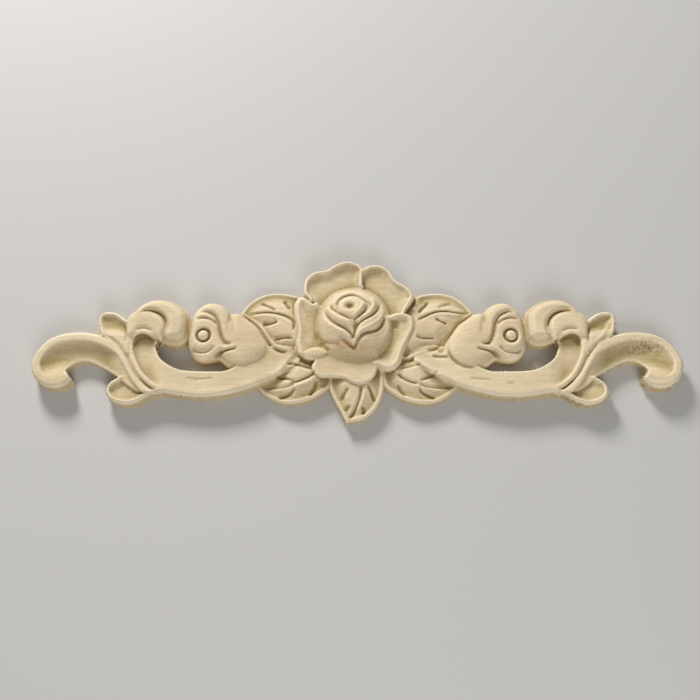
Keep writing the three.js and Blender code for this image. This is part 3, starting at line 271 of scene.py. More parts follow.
# Furrows and ridges: height at the line, its width on the left and on the right hand, the
# line. These stand on both sides, mirrored.
BOTH_SIDES = [
    (-0.9, 0.8, 0.7, [(77.6, 1), (75.4, 0.4), (73.6, -0.7), (71.9, -2.4), (70.4, -4.2),
        (69.2, -6.2), (68, -8.4), (66.7, -10.6), (65.2, -12.5), (63.6, -14.1), (61.8, -15.5),
        (59.6, -16.2)]),
    (-0.5, 0.8, 0.8, [(70.6, 4.4), (70, 1.5), (70.1, -1.5)]),
    (-1.2, 1.2, 1.1, [(66, 8.6), (64, 9), (62, 8.6), (60, 7.6), (58.6, 6.2), (57.8, 4.5),
        (57.7, 2.9), (58.3, 1.4), (59.4, 0.4)]),
    (-0.5, 0.8, 0.8, [(67, 2.4), (65.4, 3), (63.6, 2.8), (61.8, 1.9)]),
    (0.6, 0.6, 0.6, [(67.9, -0.4), (67.1, 1), (65.6, 1.9), (64, 1.8), (62.6, 1), (61.4, 0)]),
    (-0.4, 0.8, 0.5, [(67.6, -2.6), (67.2, -1), (66.2, 0.3), (64.6, 0.9), (62.8, 0.4),
        (61.4, -0.9)]),
    (-1.1, 1.2, 1.1, [(48.2, 8.2), (46.5, 8.5), (44.8, 8), (43.3, 6.9), (42.2, 5), (41.7, 2.8),
        (41.1, 0.6), (40.2, -1.2), (38.9, -2), (37.3, -2.4)]),
    (-0.8, 0.9, 0.6, [(49.2, 5.8), (47.5, 6.4), (46, 6.4), (44.4, 5.8), (43.2, 5), (42.6, 4.2)]),
    (0.25, 0.6, 0.6, [(48.5, 7.2), (46.3, 7.4), (44.3, 6.7), (43, 5.6)]),
    (-0.8, 0.6, 1.6, [(50, -3.4), (48.6, -4.4), (47, -4.8), (45.4, -4.7), (43.9, -4),
        (42.7, -2.8)]),
    (0.5, 1.1, 1.0, [(50, -4.9), (48.2, -5.9), (46.2, -6.1), (44.4, -5.3), (42.8, -4), (41, -3.2),
        (39, -3), (36.6, -2.9)]),
    (-1.0, 0.7, 0.7, [(43.2, -6), (42, -5.4), (41, -4.6), (39.5, -4), (37.6, -3.7), (36, -3.4)]),
    (-0.4, 1.2, 1.2, [(38.4, 7), (37.9, 4), (37.7, 1)]),
]
# These stand where they are drawn.
LEFT_LEAVES = [
    (-0.9, 0.7, 0.7, [(-33, 8.9), (-29.5, 9.1), (-26, 9), (-23, 8.2), (-20.8, 7.1), (-19.5, 5.8),
        (-19.3, 4), (-19.5, 2.4)]),
    (0.35, 0.9, 0.9, [(-33, 8), (-29, 8.1), (-26, 7.9), (-23.5, 7.2), (-21.5, 6.1),
        (-20.3, 4.8)]),
    (-1.1, 1.6, 0.6, [(-29, 5.1), (-27, 5.1), (-25.3, 5.4), (-24.2, 6)]),
    (-0.9, 1.2, 0.5, [(-25.1, 0), (-23.2, 0.3), (-21.5, 0.4), (-19.3, 0.1)]),
    (-0.9, 0.8, 0.6, [(-29.8, 12.4), (-28, 11.5), (-26.3, 10.6), (-25, 9.7)]),
    (-0.9, 0.9, 0.6, [(-22.6, 13.2), (-22.1, 12.2), (-21.4, 11), (-20.6, 10)]),
    (-1.1, 0.8, 0.8, [(-35.6, 7.6), (-33.5, 6.7), (-31.5, 5.4), (-30, 3.8), (-28.6, 1.8),
        (-27.4, 0), (-26.2, -1.7), (-24.6, -3.1), (-22.8, -3.9), (-21, -4.1)]),
    (0.4, 0.8, 0.8, [(-32.6, 7), (-30, 5.2), (-28.4, 3.1), (-27, 1), (-25.8, -0.6), (-24.2, -2),
        (-22, -2.9), (-19.8, -3.4)]),
    (0.3, 0.7, 1.6, [(-19.4, -4.4), (-21, -6.6), (-22.7, -9), (-24.2, -11.4), (-26, -12.6)]),
    (-0.35, 1.3, 1.0, [(-18.4, -5), (-19.6, -6.8), (-21.1, -8.9), (-22.9, -11)]),
    (-1.0, 0.8, 0.8, [(-12.3, -10.4), (-14.2, -11.6), (-16.3, -12.6), (-18.4, -13.4),
        (-20.4, -14)]),
    (-0.8, 0.5, 1.2, [(-18.6, -14.1), (-21, -14.9), (-24, -15.2), (-27.8, -15)]),
    (-0.9, 0.6, 0.7, [(-18.6, -13.1), (-20.2, -12.7), (-22.3, -12), (-24.8, -11.4)]),
    (-0.8, 0.6, 0.6, [(-21.3, -7.6), (-18.8, -7.9), (-16.3, -8.6), (-13.3, -9.5)]),
    (-0.3, 0.8, 0.8, [(-18, -4.8), (-17, -5.9), (-15.4, -6.9), (-13.2, -7.4)]),
    (-0.8, 0.9, 0.9, [(-18.6, -15.2), (-19.8, -16.6), (-21.5, -17.6), (-23.6, -18.4)]),
    (-0.8, 0.9, 0.9, [(-12.2, -12.9), (-12.7, -14.8), (-13.6, -16.4), (-14.3, -17.6)]),
    (0.35, 0.7, 0.7, [(-13, -12.6), (-15, -13.6), (-17, -14.4), (-19.2, -15)]),
]
RIGHT_LEAVES = [
    (-0.8, 0.6, 0.6, [(34.5, 9.1), (30, 9.3), (26, 9.5), (23.5, 9), (21.5, 8), (19.7, 6.9),
        (18.4, 6)]),
    (0.3, 0.8, 0.8, [(19.5, 7.9), (21.5, 9), (23.5, 9.9), (26.5, 10.4), (30, 10.2)]),
    (0.3, 0.8, 0.8, [(22, 7.3), (24.5, 8.3), (28, 8.5), (32, 8.3)]),
    (-1.0, 0.7, 0.7, [(24, 6.9), (25.6, 6), (27.6, 5.2)]),
    (-0.9, 1.2, 0.5, [(17.8, 0.9), (19.3, 0.3), (21.5, 0.3), (23.6, 0.3)]),
    (-0.9, 0.8, 0.7, [(22, 12.9), (21.2, 11.5), (20, 10.2), (18.8, 8.6)]),
    (-0.6, 1.0, 1.0, [(24.9, 10.6), (26.5, 11.5), (29.3, 12.4)]),
    (-0.4, 0.8, 0.8, [(15.6, 9.2), (16.8, 10.8), (17.9, 12.6)]),
    (-1.3, 1.0, 1.0, [(35.2, 7.3), (32.6, 6.6), (30.6, 5), (29.2, 3), (28, 1.3), (26.8, -0.3),
        (25.2, -1.9), (23.4, -3), (21, -3.6)]),
    (-0.8, 1.3, 1.3, [(26.6, -1.6), (25.8, -3.2), (24.6, -4.2)]),
    (-0.7, 0.7, 0.7, [(22.6, -5.2), (25, -5.5), (27.8, -5.7)]),
    (-0.6, 0.6, 0.8, [(27.8, -1), (27.8, -3.8), (28.6, -6), (30.2, -7.8), (32.5, -9),
        (35.5, -9.4)]),
    (-0.5, 0.6, 0.6, [(13, -9.3), (16, -8.7), (19.5, -7.7)]),
    (-1.0, 0.8, 0.8, [(12, -10.5), (13.6, -12.2), (16, -13.4), (18.5, -14)]),
    (-0.8, 1.2, 0.5, [(18.2, -14.1), (21, -14.9), (25, -15.1), (29, -14.6)]),
    (-0.8, 0.7, 0.7, [(18.8, -13), (20.5, -12.3), (22.6, -11.2), (24.6, -10.4)]),
    (-0.9, 0.6, 0.6, [(18.5, -15), (19.3, -16.4), (21.2, -17.4), (23.6, -18.5)]),
    (-0.6, 0.7, 0.7, [(12, -14.2), (13, -16), (14.6, -17.8)]),
    (-0.4, 0.9, 0.9, [(13.4, -8.4), (14.8, -5.6), (15.8, -2.6)]),
    (0.7, 2.4, 2.4, [(16.6, -6), (20.2, -8.4), (23.8, -11.2), (27.4, -13.4)]),
    (0.45, 0.9, 0.9, [(78, 7.4), (76.2, 4), (74.4, 1), (72.4, -2)]),
]
LOWER_LEAVES = [
    (-0.9, 0.9, 0.8, [(1.1, -14.5), (1, -17), (0.5, -19.2), (-0.5, -21.5), (-1.6, -23.6),
        (-2.6, -25.3)]),
    (0.3, 0.7, 0.7, [(2, -16), (1.8, -18.5), (1, -20.6), (0, -22.5)]),
    (-0.8, 0.9, 0.9, [(-2.6, -15.4), (-3.7, -17), (-4.8, -19.2)]),
    (-0.6, 0.9, 0.9, [(-2.2, -20.6), (-3.6, -22.4)]),
    (-0.9, 0.7, 0.7, [(3.1, -14.4), (3.9, -16.2), (4.6, -18), (5.2, -19.6)]),
    (-0.7, 0.8, 0.8, [(1.2, -20.9), (1.9, -22), (1.8, -23.6)]),
]
ROSE_LINES = [
    (-1.0, 1.2, 0.9, [(3.8, 8.9), (4, 10.1), (3, 10.9), (1.9, 11.7), (0.6, 12.7), (-0.6, 13.2),
        (-2.2, 13.3), (-4, 12.7), (-5.4, 11.6), (-6.1, 10), (-6, 8.6), (-5.4, 7.6)]),
    (0.3, 0.8, 1.6, [(-0.5, 14.3), (-3, 14), (-4.8, 13), (-6.4, 11.4), (-7.2, 9.8)]),
    (-1.1, 1.3, 0.8, [(-8.1, 10), (-7.6, 8.8), (-6.6, 7.7), (-5.2, 6.5), (-3.8, 5.6), (-2.6, 4.9),
        (-1.3, 4.4)]),
    (0.5, 0.8, 2.0, [(-8.9, 9.8), (-8.4, 8.1), (-7.2, 6.7), (-5.8, 5.6), (-4.4, 4.8), (-3, 4.1),
        (-1.8, 3.7)]),
    (-1.0, 1.2, 1.2, [(-0.9, 1.2), (-0.6, 2.8), (-0.8, 4.4), (0.2, 5.2), (1.2, 6.1), (2.3, 7.3),
        (3, 8.8), (3.2, 10)]),
    (0.6, 0.8, 0.7, [(1.5, 11.1), (1.8, 9.9), (1.3, 8.5), (0.3, 7.1), (-0.6, 6), (-1.3, 5)]),
    (0.6, 1.5, 0.8, [(4, 12.8), (4.8, 11.6), (5.1, 10.1), (4.7, 8.3), (3.6, 6.8), (2.1, 5.7),
        (0.7, 4.7), (-0.3, 3.8)]),
    (-1.3, 1.3, 0.8, [(-9.7, 8.6), (-9.3, 7.1), (-8.4, 5.6), (-7.2, 4.1), (-5.6, 2.8),
        (-3.9, 1.7), (-2.5, 0.6), (-1.2, -0.8), (-1.2, -0.8), (-0.7, 0.6), (-0.2, 2), (0.6, 3.2),
        (1.8, 4.3), (3.2, 5.3), (4.6, 6.4), (5.8, 7.8), (6.5, 9.2), (6.8, 10.6)]),
    (0.6, 0.8, 2.0, [(-10.6, 8.8), (-10.2, 6.5), (-9.2, 4.5), (-7.8, 3), (-6, 1.7), (-4.2, 0.7),
        (-2.8, -0.4), (-1.9, -1.4), (-1, -2.7), (-1, -2.7), (-0.2, -1), (0.9, 0.5), (2.2, 1.5),
        (3.8, 2.6), (5.3, 3.7), (6.6, 5), (7.6, 6.6), (7.9, 8), (7.6, 9.6), (7, 11.3)]),
    (-1.2, 0.9, 0.9, [(-5.4, -0.9), (-4.2, -1.7), (-3, -2.5), (-2, -3.2), (-1, -3.6), (-1, -3.6),
        (-0.3, -2.7), (0.3, -1.6), (1.2, -0.5), (2.5, 0.3), (4, 0.8), (5.6, 1.5), (6.8, 2.6),
        (7.7, 4.2), (8.3, 6), (8.4, 7.9)]),
    (0.45, 0.9, 1.4, [(0.6, -2.5), (2.5, -1.9), (5, -1.5), (7.3, -0.6), (8.8, 1), (9.4, 3.2),
        (9.4, 5.5)]),
    (-0.5, 0.8, 1.2, [(-12.3, 2), (-11.8, 0.4), (-11, -0.8), (-9.8, -1.6), (-8, -2.1), (-6, -2.5),
        (-4.8, -2.6)]),
    (-0.4, 0.6, 0.6, [(-15, 12.6), (-13.6, 11.6), (-12.2, 11), (-10.9, 10.6)]),
    (0.5, 0.9, 0.9, [(2, 22.6), (1.5, 20.5), (1.4, 18.4), (1.2, 16.6)]),
    (0.4, 0.9, 1.3, [(9.4, 7.0), (12.5, 7.6), (15.8, 7.2)]),
    (-0.5, 1.4, 1.4, [(11.2, 6), (11.6, 4.6), (11.8, 3)]),
    (-0.7, 0.7, 0.6, [(-11.4, -1.6), (-9.8, -2.9), (-8.4, -4.4)]),
    (0.9, 1.6, 1.6, [(19.2, 14.4), (18.2, 12.2), (17.2, 9.6)]),
    (0.5, 2.0, 2.0, [(11, -10.2), (13, -8.2), (14.8, -6.4)]),
]
SCRATCHES = [
    (-0.35, 0.4, 0.4, [(-51.5, -12.6), (-47, -12.9), (-43, -12.6)]),
    (-0.25, 0.4, 0.4, [(-50, -13.4), (-47.5, -13.5)]),
    (-0.3, 0.4, 0.4, [(33.4, -12.6), (37, -12.9), (40.4, -13.1)]),
    (-0.25, 0.4, 0.4, [(44.5, -14.2), (47, -14.2)]),
]

# Soft patches: centre, half width, half depth and strength. These are orange-brown patches,
# streaked along the grain.
ORANGE_PATCHES = [
    (-3.4, -2.8, 3.8, 1.0, 1.1), (0.6, -4.4, 3.2, 1.2, 0.6), (-7.0, -1.5, 2.4, 1.0, 0.4),
    (-36.4, 6.6, 3.2, 1.0, 0.4), (-33.0, 7.4, 2.4, 0.8, 0.3), (2.4, 23.0, 1.6, 1.2, 0.3),
]
# Where torn fibres stand on the walls. The strength is the share of the wall that is torn.
FUZZ = [
    (73.5, -17.5, 4.5, 5.0, 0.5), (65, -20, 6, 3, 0.35), (92, -15, 6, 3, 0.4),
    (86.5, -12.5, 2, 3, 0.3), (78.6, 5, 2, 4, 0.35), (56, -0.5, 5, 3, 0.4), (76, -9, 6, 3, 0.2),
    (46, -10.4, 4, 1.5, 0.2), (49.8, 10.2, 2, 2, 0.3), (-75, -16, 2.5, 4, 0.2),
    (-78.5, 6, 2, 4, 0.2), (-57, -1, 4, 2, 0.25), (-52, -17.5, 12, 1.5, 0.08),
    (48, -18, 14, 1.5, 0.12), (97.5, -10, 2, 6, 0.15),
]
# Smooth hollows that are left without the painted olive shade, on both sides
SHADE_FREE_HOLLOWS = [
    (71.0, -16.4, 4.5, 3.5, 0.8), (66.5, -7.0, 4.0, 6.0, 0.6),
]
# The rough patch where the cutter chattered in the right hook
CHATTER = (87.5, -2.6, 6.0, 2.6, 1.0)

# Places on the plan: the bud's eye, the middle of the hook's tip, and the pit in the rose with
# its half width and half depth
BUD_EYE = (46.6, 0.8)
HOOK_TIP = (89.5, -15.5)
ROSE_PIT = (-2.2, 9.1, 2.5, 2.1)


def ease(t):
    """From 0 to 1 as t does, level at both ends."""
    u = np.clip(t, 0, 1)
    return u * u * (3 - 2 * u)


def arch(t):
    """From 0 to 1 as t does: a crisp start, levelling out at the end."""
    u = np.clip(t, 0, 1)
    return u * (2 - u)


def crisp(t):
    """From 0 to 1 as t does: a steep start, levelling out at the end."""
    return np.sqrt(arch(t))


def smooth_chain(points, closed, scale):
    """The plan points joined by a smooth curve, as a chain of short straight pieces."""
    corners = np.array(points, float) * scale
    if closed:
        padded = np.vstack([corners[-1:], corners, corners[:2]])
        spans = len(corners)
    else:
        before = 2 * corners[0] - corners[1]
        after = 2 * corners[-1] - corners[-2]
        padded = np.vstack([before, corners, after])
        spans = len(corners) - 1
    t = np.linspace(0, 1, CURVE_STEPS, endpoint=False)[:, None]
    chain = []
    for span in range(spans):
        a, b, c, d = padded[span:span + 4]
        slope_b = (c - a) / 2
        slope_c = (d - b) / 2
        chain.append(b + slope_b * t + (3 * (c - b) - 2 * slope_b - slope_c) * t ** 2
                     + (2 * (b - c) + slope_b + slope_c) * t ** 3)
    chain.append(padded[spans + 1][None])
    return np.vstack(chain)


half_length = (cad_bounds[1][0] - cad_bounds[0][0]) / 2 / MM
SCALE = half_length / smooth_chain(HOOK_OUTER, False, 1)[:, 0].max()


class Line:
    """A plan curve that tells how near points are, how far along it, and on which hand."""

    def __init__(self, points, closed=False):
        self.chain = smooth_chain(points, closed, SCALE)
        self.low = self.chain.min(axis=0)
        self.high = self.chain.max(axis=0)

    def near(self, points, margin):
        """The places of the points that lie in the curve's box, widened by the margin."""
        inside = (points > self.low - margin) & (points < self.high + margin)
        return np.flatnonzero(inside.all(axis=1))

    def measure(self, points):
        """Each point's distance from the curve, how far along its foot lies, and its hand."""
        starts = self.chain[:-1]
        runs = self.chain[1:] - starts
        squares = (runs ** 2).sum(axis=1)
        distance = np.full(len(points), np.inf)
        along = np.zeros(len(points))
        hand = np.zeros(len(points))
        for i in np.flatnonzero(squares > SHORTEST_SQUARE):
            offset = points - starts[i]
            t = np.clip(offset @ runs[i] / squares[i], 0, 1)
            gap = offset - t[:, None] * runs[i]
            far = np.hypot(gap[:, 0], gap[:, 1])
            cross = runs[i, 0] * offset[:, 1] - runs[i, 1] * offset[:, 0]
            side = cross / math.sqrt(squares[i])
            same = np.abs(far - distance) < TINY
            better = (far < distance - TINY) | (same & (np.abs(side) > np.abs(hand)))
            distance[better] = far[better]
            along[better] = (i + t[better]) / len(runs)
            hand[better] = side[better]
        return distance, along, hand


class Form(Line):
    """A closed plan form that knows how far points lie in from its outline."""

    def __init__(self, points):
        super().__init__(points, closed=True)

    def depth(self, points):
        """The distance in from the outline, negative outside it."""
        result = np.full(len(points), -REACH)
        near = self.near(points, REACH)
        here = points[near]
        distance, _, _ = self.measure(here)
        inside = np.zeros(len(here), bool)
        for (ax, ay), (bx, by) in zip(self.chain[:-1], self.chain[1:]):
            spans = (ay > here[:, 1]) != (by > here[:, 1])
            if spans.any():
                cross = ax + (here[:, 1] - ay) * (bx - ax) / (by - ay)
                inside ^= spans & (here[:, 0] < cross)
        result[near] = np.where(inside, distance, -distance)
        return result


def pillow(form, points, edge, crest, width):
    """A form that rises from its edge to a crest over a width, and drops steeply outside."""
    depth = form.depth(points)
    top = edge + (crest - edge) * crisp(depth / width)
    return np.where(depth < 0, edge + STEP_SLOPE * depth, top)


def leaf(form, points, climb):
    """A leaf: a thin rim, a shallow dip inside it and a low swell, rising towards the rose."""
    rise, start, run = climb
    depth = form.depth(points)
    x = points[:, 0] / SCALE
    y = points[:, 1] / SCALE
    root_start, root_run = LEAF_ROOT
    root = LEAF_ROOT_RISE * ease((root_start - np.abs(x)) / root_run)
    edge = LEAF_EDGE + rise * ease((y - start) / run) + root
    dip = LEAF_DIP_SHARE * arch(depth - LEAF_RIM_WIDTH)
    rim = LEAF_RIM * (arch(depth / LEAF_RIM_WIDTH) - dip)
    swell = LEAF_SWELL * ease((depth - 2 * LEAF_RIM_WIDTH) / LEAF_SWELL_WIDTH)
    return np.where(depth < 0, edge + STEP_SLOPE * depth, edge + rim + swell)


class Rimmed:
    """A form with a rim along its free edge alone, and a cove between the rim and the far side.

    A cove without a width of its own runs all the way to the hidden side.
    """

    def __init__(self, free, hidden, edge, crest, rise, rim_width, cove=0, cove_width=None,
                 cove_at=lambda plan: 1, hollow=crisp):
        self.form = Form(free + hidden)
        self.free = Line(free)
        self.hidden = Line(hidden)
        self.edge = edge
        self.crest = crest
        self.rise = rise
        self.rim_width = rim_width
        self.cove = cove
        self.cove_width = cove_width
        self.cove_at = cove_at
        self.hollow = hollow

    def depth(self, points):
        return self.form.depth(points)

    def height(self, points):
        depth = self.depth(points)
        top = np.full(len(points), -np.inf)
        near = np.flatnonzero(depth > -REACH)
        here = depth[near]
        from_free, _, _ = self.free.measure(points[near])
        from_free = np.where((here < 0) & (from_free + here < TOUCH), 0, from_free)
        past = np.maximum(from_free - self.rim_width, 0)
        strength = self.cove_at(points[near] / SCALE)
        if self.cove_width:
            share = past / self.cove_width
        else:
            from_hidden, _, _ = self.hidden.measure(points[near])
            share = past / np.maximum(past + from_hidden, LEAST_SPAN)
        inside = self.edge + (self.crest - self.edge) * arch(from_free / self.rise)
        inside -= strength * self.cove * self.hollow(share)
        top[near] = inside + STEP_SLOPE * np.minimum(here, 0)
        return top


def as_lines(strokes):
    return [(amount, LINE_SPREAD * left, LINE_SPREAD * right, Line(points))
            for amount, left, right, points in strokes]


def drawn_lines(strokes, points):
    """The sum of furrows and ridges, sharp at their lines and fading at their ends."""
    total = np.zeros(len(points))
    for amount, left, right, line in strokes:
        near = line.near(points, max(left, right))
        distance, along, hand = line.measure(points[near])
        width = np.where(hand > 0, left, right)
        fade = 1 - np.abs(2 * along - 1) ** LINE_END_FADE
        total[near] += amount * fade * np.clip(1 - distance / width, 0, 1) ** LINE_HOLLOWNESS
    return total


def bud_eye(points):
    """The ring-shaped cut in the bud and the round boss inside it."""
    offset = points - np.array(BUD_EYE) * SCALE
    radius = np.hypot(offset[:, 0], offset[:, 1])
    ring = EYE_CUT * (1 - ease(np.abs(radius - EYE_RADIUS) / EYE_CUT_WIDTH))
    return EYE_BOSS * (1 - ease(radius / EYE_RADIUS)) - ring


def hook_channel(plan):
    """The hook's channel opens out of its root and runs out level at its tip."""
    start, run, least = HOOK_CHANNEL
    tip_gap, tip_run = HOOK_TIP_FADE
    from_tip = np.hypot(plan[:, 0] - HOOK_TIP[0], plan[:, 1] - HOOK_TIP[1])
    opening = least + (1 - least) * ease((plan[:, 0] - start) / run)
    return opening * ease((from_tip - tip_gap) / tip_run)


def band_channel(plan):
    """The band's channel is deep under the ball and dies out along the foot."""
    start, run, least = BAND_CHANNEL
    return least + (1 - least) * ease((plan[:, 0] - start) / run)


def tongue_channel(plan):
    """The tongue's hollow fades out towards its root."""
    start, run = TONGUE_CHANNEL
    return ease((plan[:, 1] - start) / run)


def fold(x, y, place):
    """A depth that grows downwards and outwards over its place on the plan."""
    top, drop, start, run, depth = place
    return depth * ease((top - y) / drop) * ease((x - start) / run)


def right_fold(plan):
    """The upper right petal is cut lower where the right petal meets it."""
    return 1 + fold(plan[:, 0], plan[:, 1], RIGHT_FOLD)


hook = Rimmed(HOOK_OUTER, HOOK_INNER, HOOK_EDGE, SCROLL_CREST, HOOK_RISE, HOOK_RIM_WIDTH,
              HOOK_COVE, cove_at=hook_channel)
band = Rimmed(BAND_OUTER, BAND_INNER, BAND_EDGE, SCROLL_CREST, BAND_RISE, BAND_RIM_WIDTH,
              BAND_COVE, BAND_RIM_WIDTH, cove_at=band_channel)
tongue = Rimmed(TONGUE, TONGUE_ROOT, TONGUE_EDGE, TONGUE_CREST, TONGUE_RISE, TONGUE_RIM_WIDTH,
                LOBE_COVE, TONGUE_COVE_WIDTH, cove_at=tongue_channel)
foot = Rimmed(FOOT, FOOT_ROOT, FOOT_EDGE, FOOT_CREST, FOOT_RISE, FOOT_RIM_WIDTH,
              LOBE_COVE, FOOT_COVE_WIDTH)
crescent = Rimmed(CRESCENT, CRESCENT_INNER, VOLUTE_EDGE, VOLUTE_CREST, VOLUTE_ROUND, VOLUTE_ROUND)
ball, calyx, bud, upper_leaf, lower_leaf = (
    Form(points) for points in (BALL, CALYX, BUD, UPPER_LEAF, LOWER_LEAF))
bottom_leaf, petal_lip, bulb = (Form(points) for points in (BOTTOM_LEAF, PETAL_LIP, BULB))

dished = {"edge": PETAL_EDGE, "crest": PETAL_CREST, "rise": PETAL_RIM_RISE,
          "rim_width": PETAL_RIM_WIDTH, "cove": PETAL_COVE, "cove_width": PETAL_COVE_WIDTH}
flat = {**dished, "edge": PETAL_EDGE - 2 * PETAL_DROP, "crest": PETAL_CREST - 4 * PETAL_DROP,
        "cove": FLAT_PETAL_COVE}
rolled = {"edge": PETAL_EDGE - 4 * PETAL_DROP, "crest": PETAL_CREST - PETAL_DROP,
          "rise": ROLLED_PETAL_RISE, "rim_width": ROLLED_PETAL_RIM, "cove": ROLLED_PETAL_COVE,
          "cove_width": PETAL_COVE_WIDTH, "hollow": arch}
petals = [
    Rimmed(PETAL_TOP_LEFT, PETAL_TOP_LEFT_ROOT, **dished),
    Rimmed(PETAL_TOP_RIGHT, PETAL_TOP_RIGHT_ROOT, **dished, cove_at=right_fold),
    Rimmed(PETAL_RIGHT, PETAL_RIGHT_ROOT, **rolled),
    Rimmed(PETAL_BOTTOM, PETAL_BOTTOM_ROOT, **flat),
    Rimmed(PETAL_LEFT, PETAL_LEFT_ROOT, **rolled),
]

both_sides = as_lines(BOTH_SIDES)
whole_plan = as_lines(LEFT_LEAVES + RIGHT_LEAVES + LOWER_LEAVES + ROSE_LINES + SCRATCHES)
half_forms = [hook, band, tongue, foot, crescent, ball, calyx, bud, upper_leaf, lower_leaf]
middle_forms = [bottom_leaf, *petals, petal_lip, bulb]


def mirrored(points):
    return np.abs(points[:, :1]) * [1, 0] + points[:, 1:] * [0, 1]


def depth_at(points):
    """How far plan points lie in from the outline of the whole carving."""
    half = mirrored(points)
    depths = [form.depth(half) for form in half_forms]
    depths += [form.depth(points) for form in middle_forms]
    return np.max(depths, axis=0)


def bulb_height(points):
    """The body of the rose's bulb, before its petals are cut."""
    depth = bulb.depth(points)
    inside = BULB_FOOT + (CROWN_HEIGHT - BULB_FOOT) * arch(depth / BULB_ROUND)
    offset = (points / SCALE - ROSE_PIT[:2]) / ROSE_PIT[2:]
    inside -= ROSE_PIT_DEPTH * (1 - ease(np.hypot(offset[:, 0], offset[:, 1])))
    return np.where(depth < 0, BULB_FOOT + STEP_SLOPE * depth, inside)


def half_heights(half):
    """The heights of the forms that stand on both sides."""
    x = half[:, 0] / SCALE
    y = half[:, 1] / SCALE
    sink_start, sink_run = BAND_SINK
    return [
        hook.height(half),
        band.height(half) - ease((sink_start - x) / sink_run),
        tongue.height(half),
        crescent.height(half),
        pillow(ball, half, BALL_EDGE, VOLUTE_CREST, BALL_ROUND) - fold(x, y, BALL_SINK),
        pillow(calyx, half, CALYX_EDGE, CALYX_CREST, CALYX_ROUND),
        pillow(bud, half, BUD_EDGE, BUD_CREST, BUD_ROUND) + bud_eye(half),
        leaf(upper_leaf, half, UPPER_LEAF_CLIMB),
        leaf(lower_leaf, half, LOWER_LEAF_CLIMB),
    ]


def middle_heights(points):
    """The heights of the petals round the bulb and of the leaf below it."""
    return [petal.height(points) for petal in petals] + [
        leaf(bottom_leaf, points, BOTTOM_LEAF_CLIMB),
        pillow(petal_lip, points, rolled["edge"], rolled["crest"], LIP_ROUND),
    ]


def blended(one, other, fillet):
    """The higher of two forms, with a hollow fillet where they cross."""
    gap = np.abs(np.maximum(one, LOWEST) - np.maximum(other, LOWEST))
    return np.maximum(one, other) + np.maximum(fillet - gap, 0) ** 2 / (4 * fillet)


def height_at(points):
    """The carved surface over plan points: the highest form there, with the lines cut in it."""
    half = mirrored(points)
    forms = half_heights(half) + middle_heights(points)
    top = forms[0]
    for other in forms[1:]:
        top = blended(top, other, FILLET)
    top = blended(top, foot.height(half), FOOT_FILLET)
    top = blended(top, bulb_height(points), BULB_FILLET)
    return top + drawn_lines(both_sides, half) + drawn_lines(whole_plan, points)


def soft_patches(points, patches):
    """The strongest of some soft ellipses on the plan, each dying out past its half sizes."""
    layers = []
    for x, y, half_width, half_depth, strength in patches:
        offset = (points / SCALE - (x, y)) / (half_width, half_depth)
        layers.append(strength * np.exp(-(offset ** 2).sum(axis=1)))
    return np.max(layers, axis=0)


def blur(values, weights, sigma):
    """A soft average of grid values, counting only the places that have weight."""
    reach = max(1, int(math.ceil(3 * sigma)))
    shifts = range(-reach, reach + 1)
    kernel = np.exp(-0.5 * (np.array(shifts) / sigma) ** 2)
    total = values * weights
    count = weights.astype(float)
    for axis in (0, 1):
        total = sum(k * np.roll(total, shift, axis) for k, shift in zip(kernel, shifts))
        count = sum(k * np.roll(count, shift, axis) for k, shift in zip(kernel, shifts))
    return total / np.maximum(count, TINY)


def sampled_carving():
    """An even grid over the plan: its places, and the depth, height and tones at each, for painted
    shade, painted highlights and orange-brown patches.
    """
    low = np.array(cad_bounds[0][:2]) / MM - GRID_MARGIN
    high = np.array(cad_bounds[1][:2]) / MM + GRID_MARGIN
    columns, rows = ((high - low) / GRID_STEP).astype(int) + 1
    xs = low[0] + np.arange(columns) * GRID_STEP
    ys = low[1] + np.arange(rows) * GRID_STEP
    places = np.stack(np.meshgrid(xs, ys), axis=-1)
    plan = places.reshape(-1, 2)
    grid = (rows, columns)
    depth = depth_at(plan)
    live = depth > -LIVE_STEPS * GRID_STEP
    raw = np.zeros(len(plan))
    raw[live] = np.maximum(height_at(plan[live]), LEAST_HEIGHT)
    depth = depth.reshape(grid)
    live = live.reshape(grid)
    raw = raw.reshape(grid)

    marks = blur(np.random.default_rng(MARK_SEED).standard_normal(grid), live, MARK_SIZE)
    chatter = soft_patches(plan, [CHATTER]).reshape(grid)
    height = blur(raw, live, TOOL_RADIUS / GRID_STEP)
    height += marks * (TOOL_ROUGHNESS + CHATTER_ROUGHNESS * chatter)

    # Painted shade and highlight: below its soft average the surface darkens as furrow shade, above
    # it the crests lighten
    shade_and_highlight = height - blur(raw, live, TONE_RADIUS / GRID_STEP)
    # Painted olive shade in broad hollows: how far the surface lies below its wide average
    hollow_shade = height - blur(raw, live & (depth > 0), HOLLOW_SHADE_RADIUS / GRID_STEP)
    from_outline = ease(depth / TONE_MARGIN)
    # Near the outline the painted furrow shade fades out and the painted highlight keeps only a
    # share
    highlight_share = OUTLINE_HIGHLIGHT_SHARE + (1 - OUTLINE_HIGHLIGHT_SHARE) * from_outline
    shade_and_highlight = np.where(shade_and_highlight < 0, shade_and_highlight * from_outline, shade_and_highlight * highlight_share)
    hollow_shade = np.where(hollow_shade < 0, hollow_shade * from_outline, hollow_shade)
    hollow_shade *= 1 - soft_patches(mirrored(plan), SHADE_FREE_HOLLOWS).reshape(grid)
    orange_patch = soft_patches(plan, ORANGE_PATCHES).reshape(grid)
    return places, depth, height, np.stack([shade_and_highlight, hollow_shade, orange_patch], axis=-1)


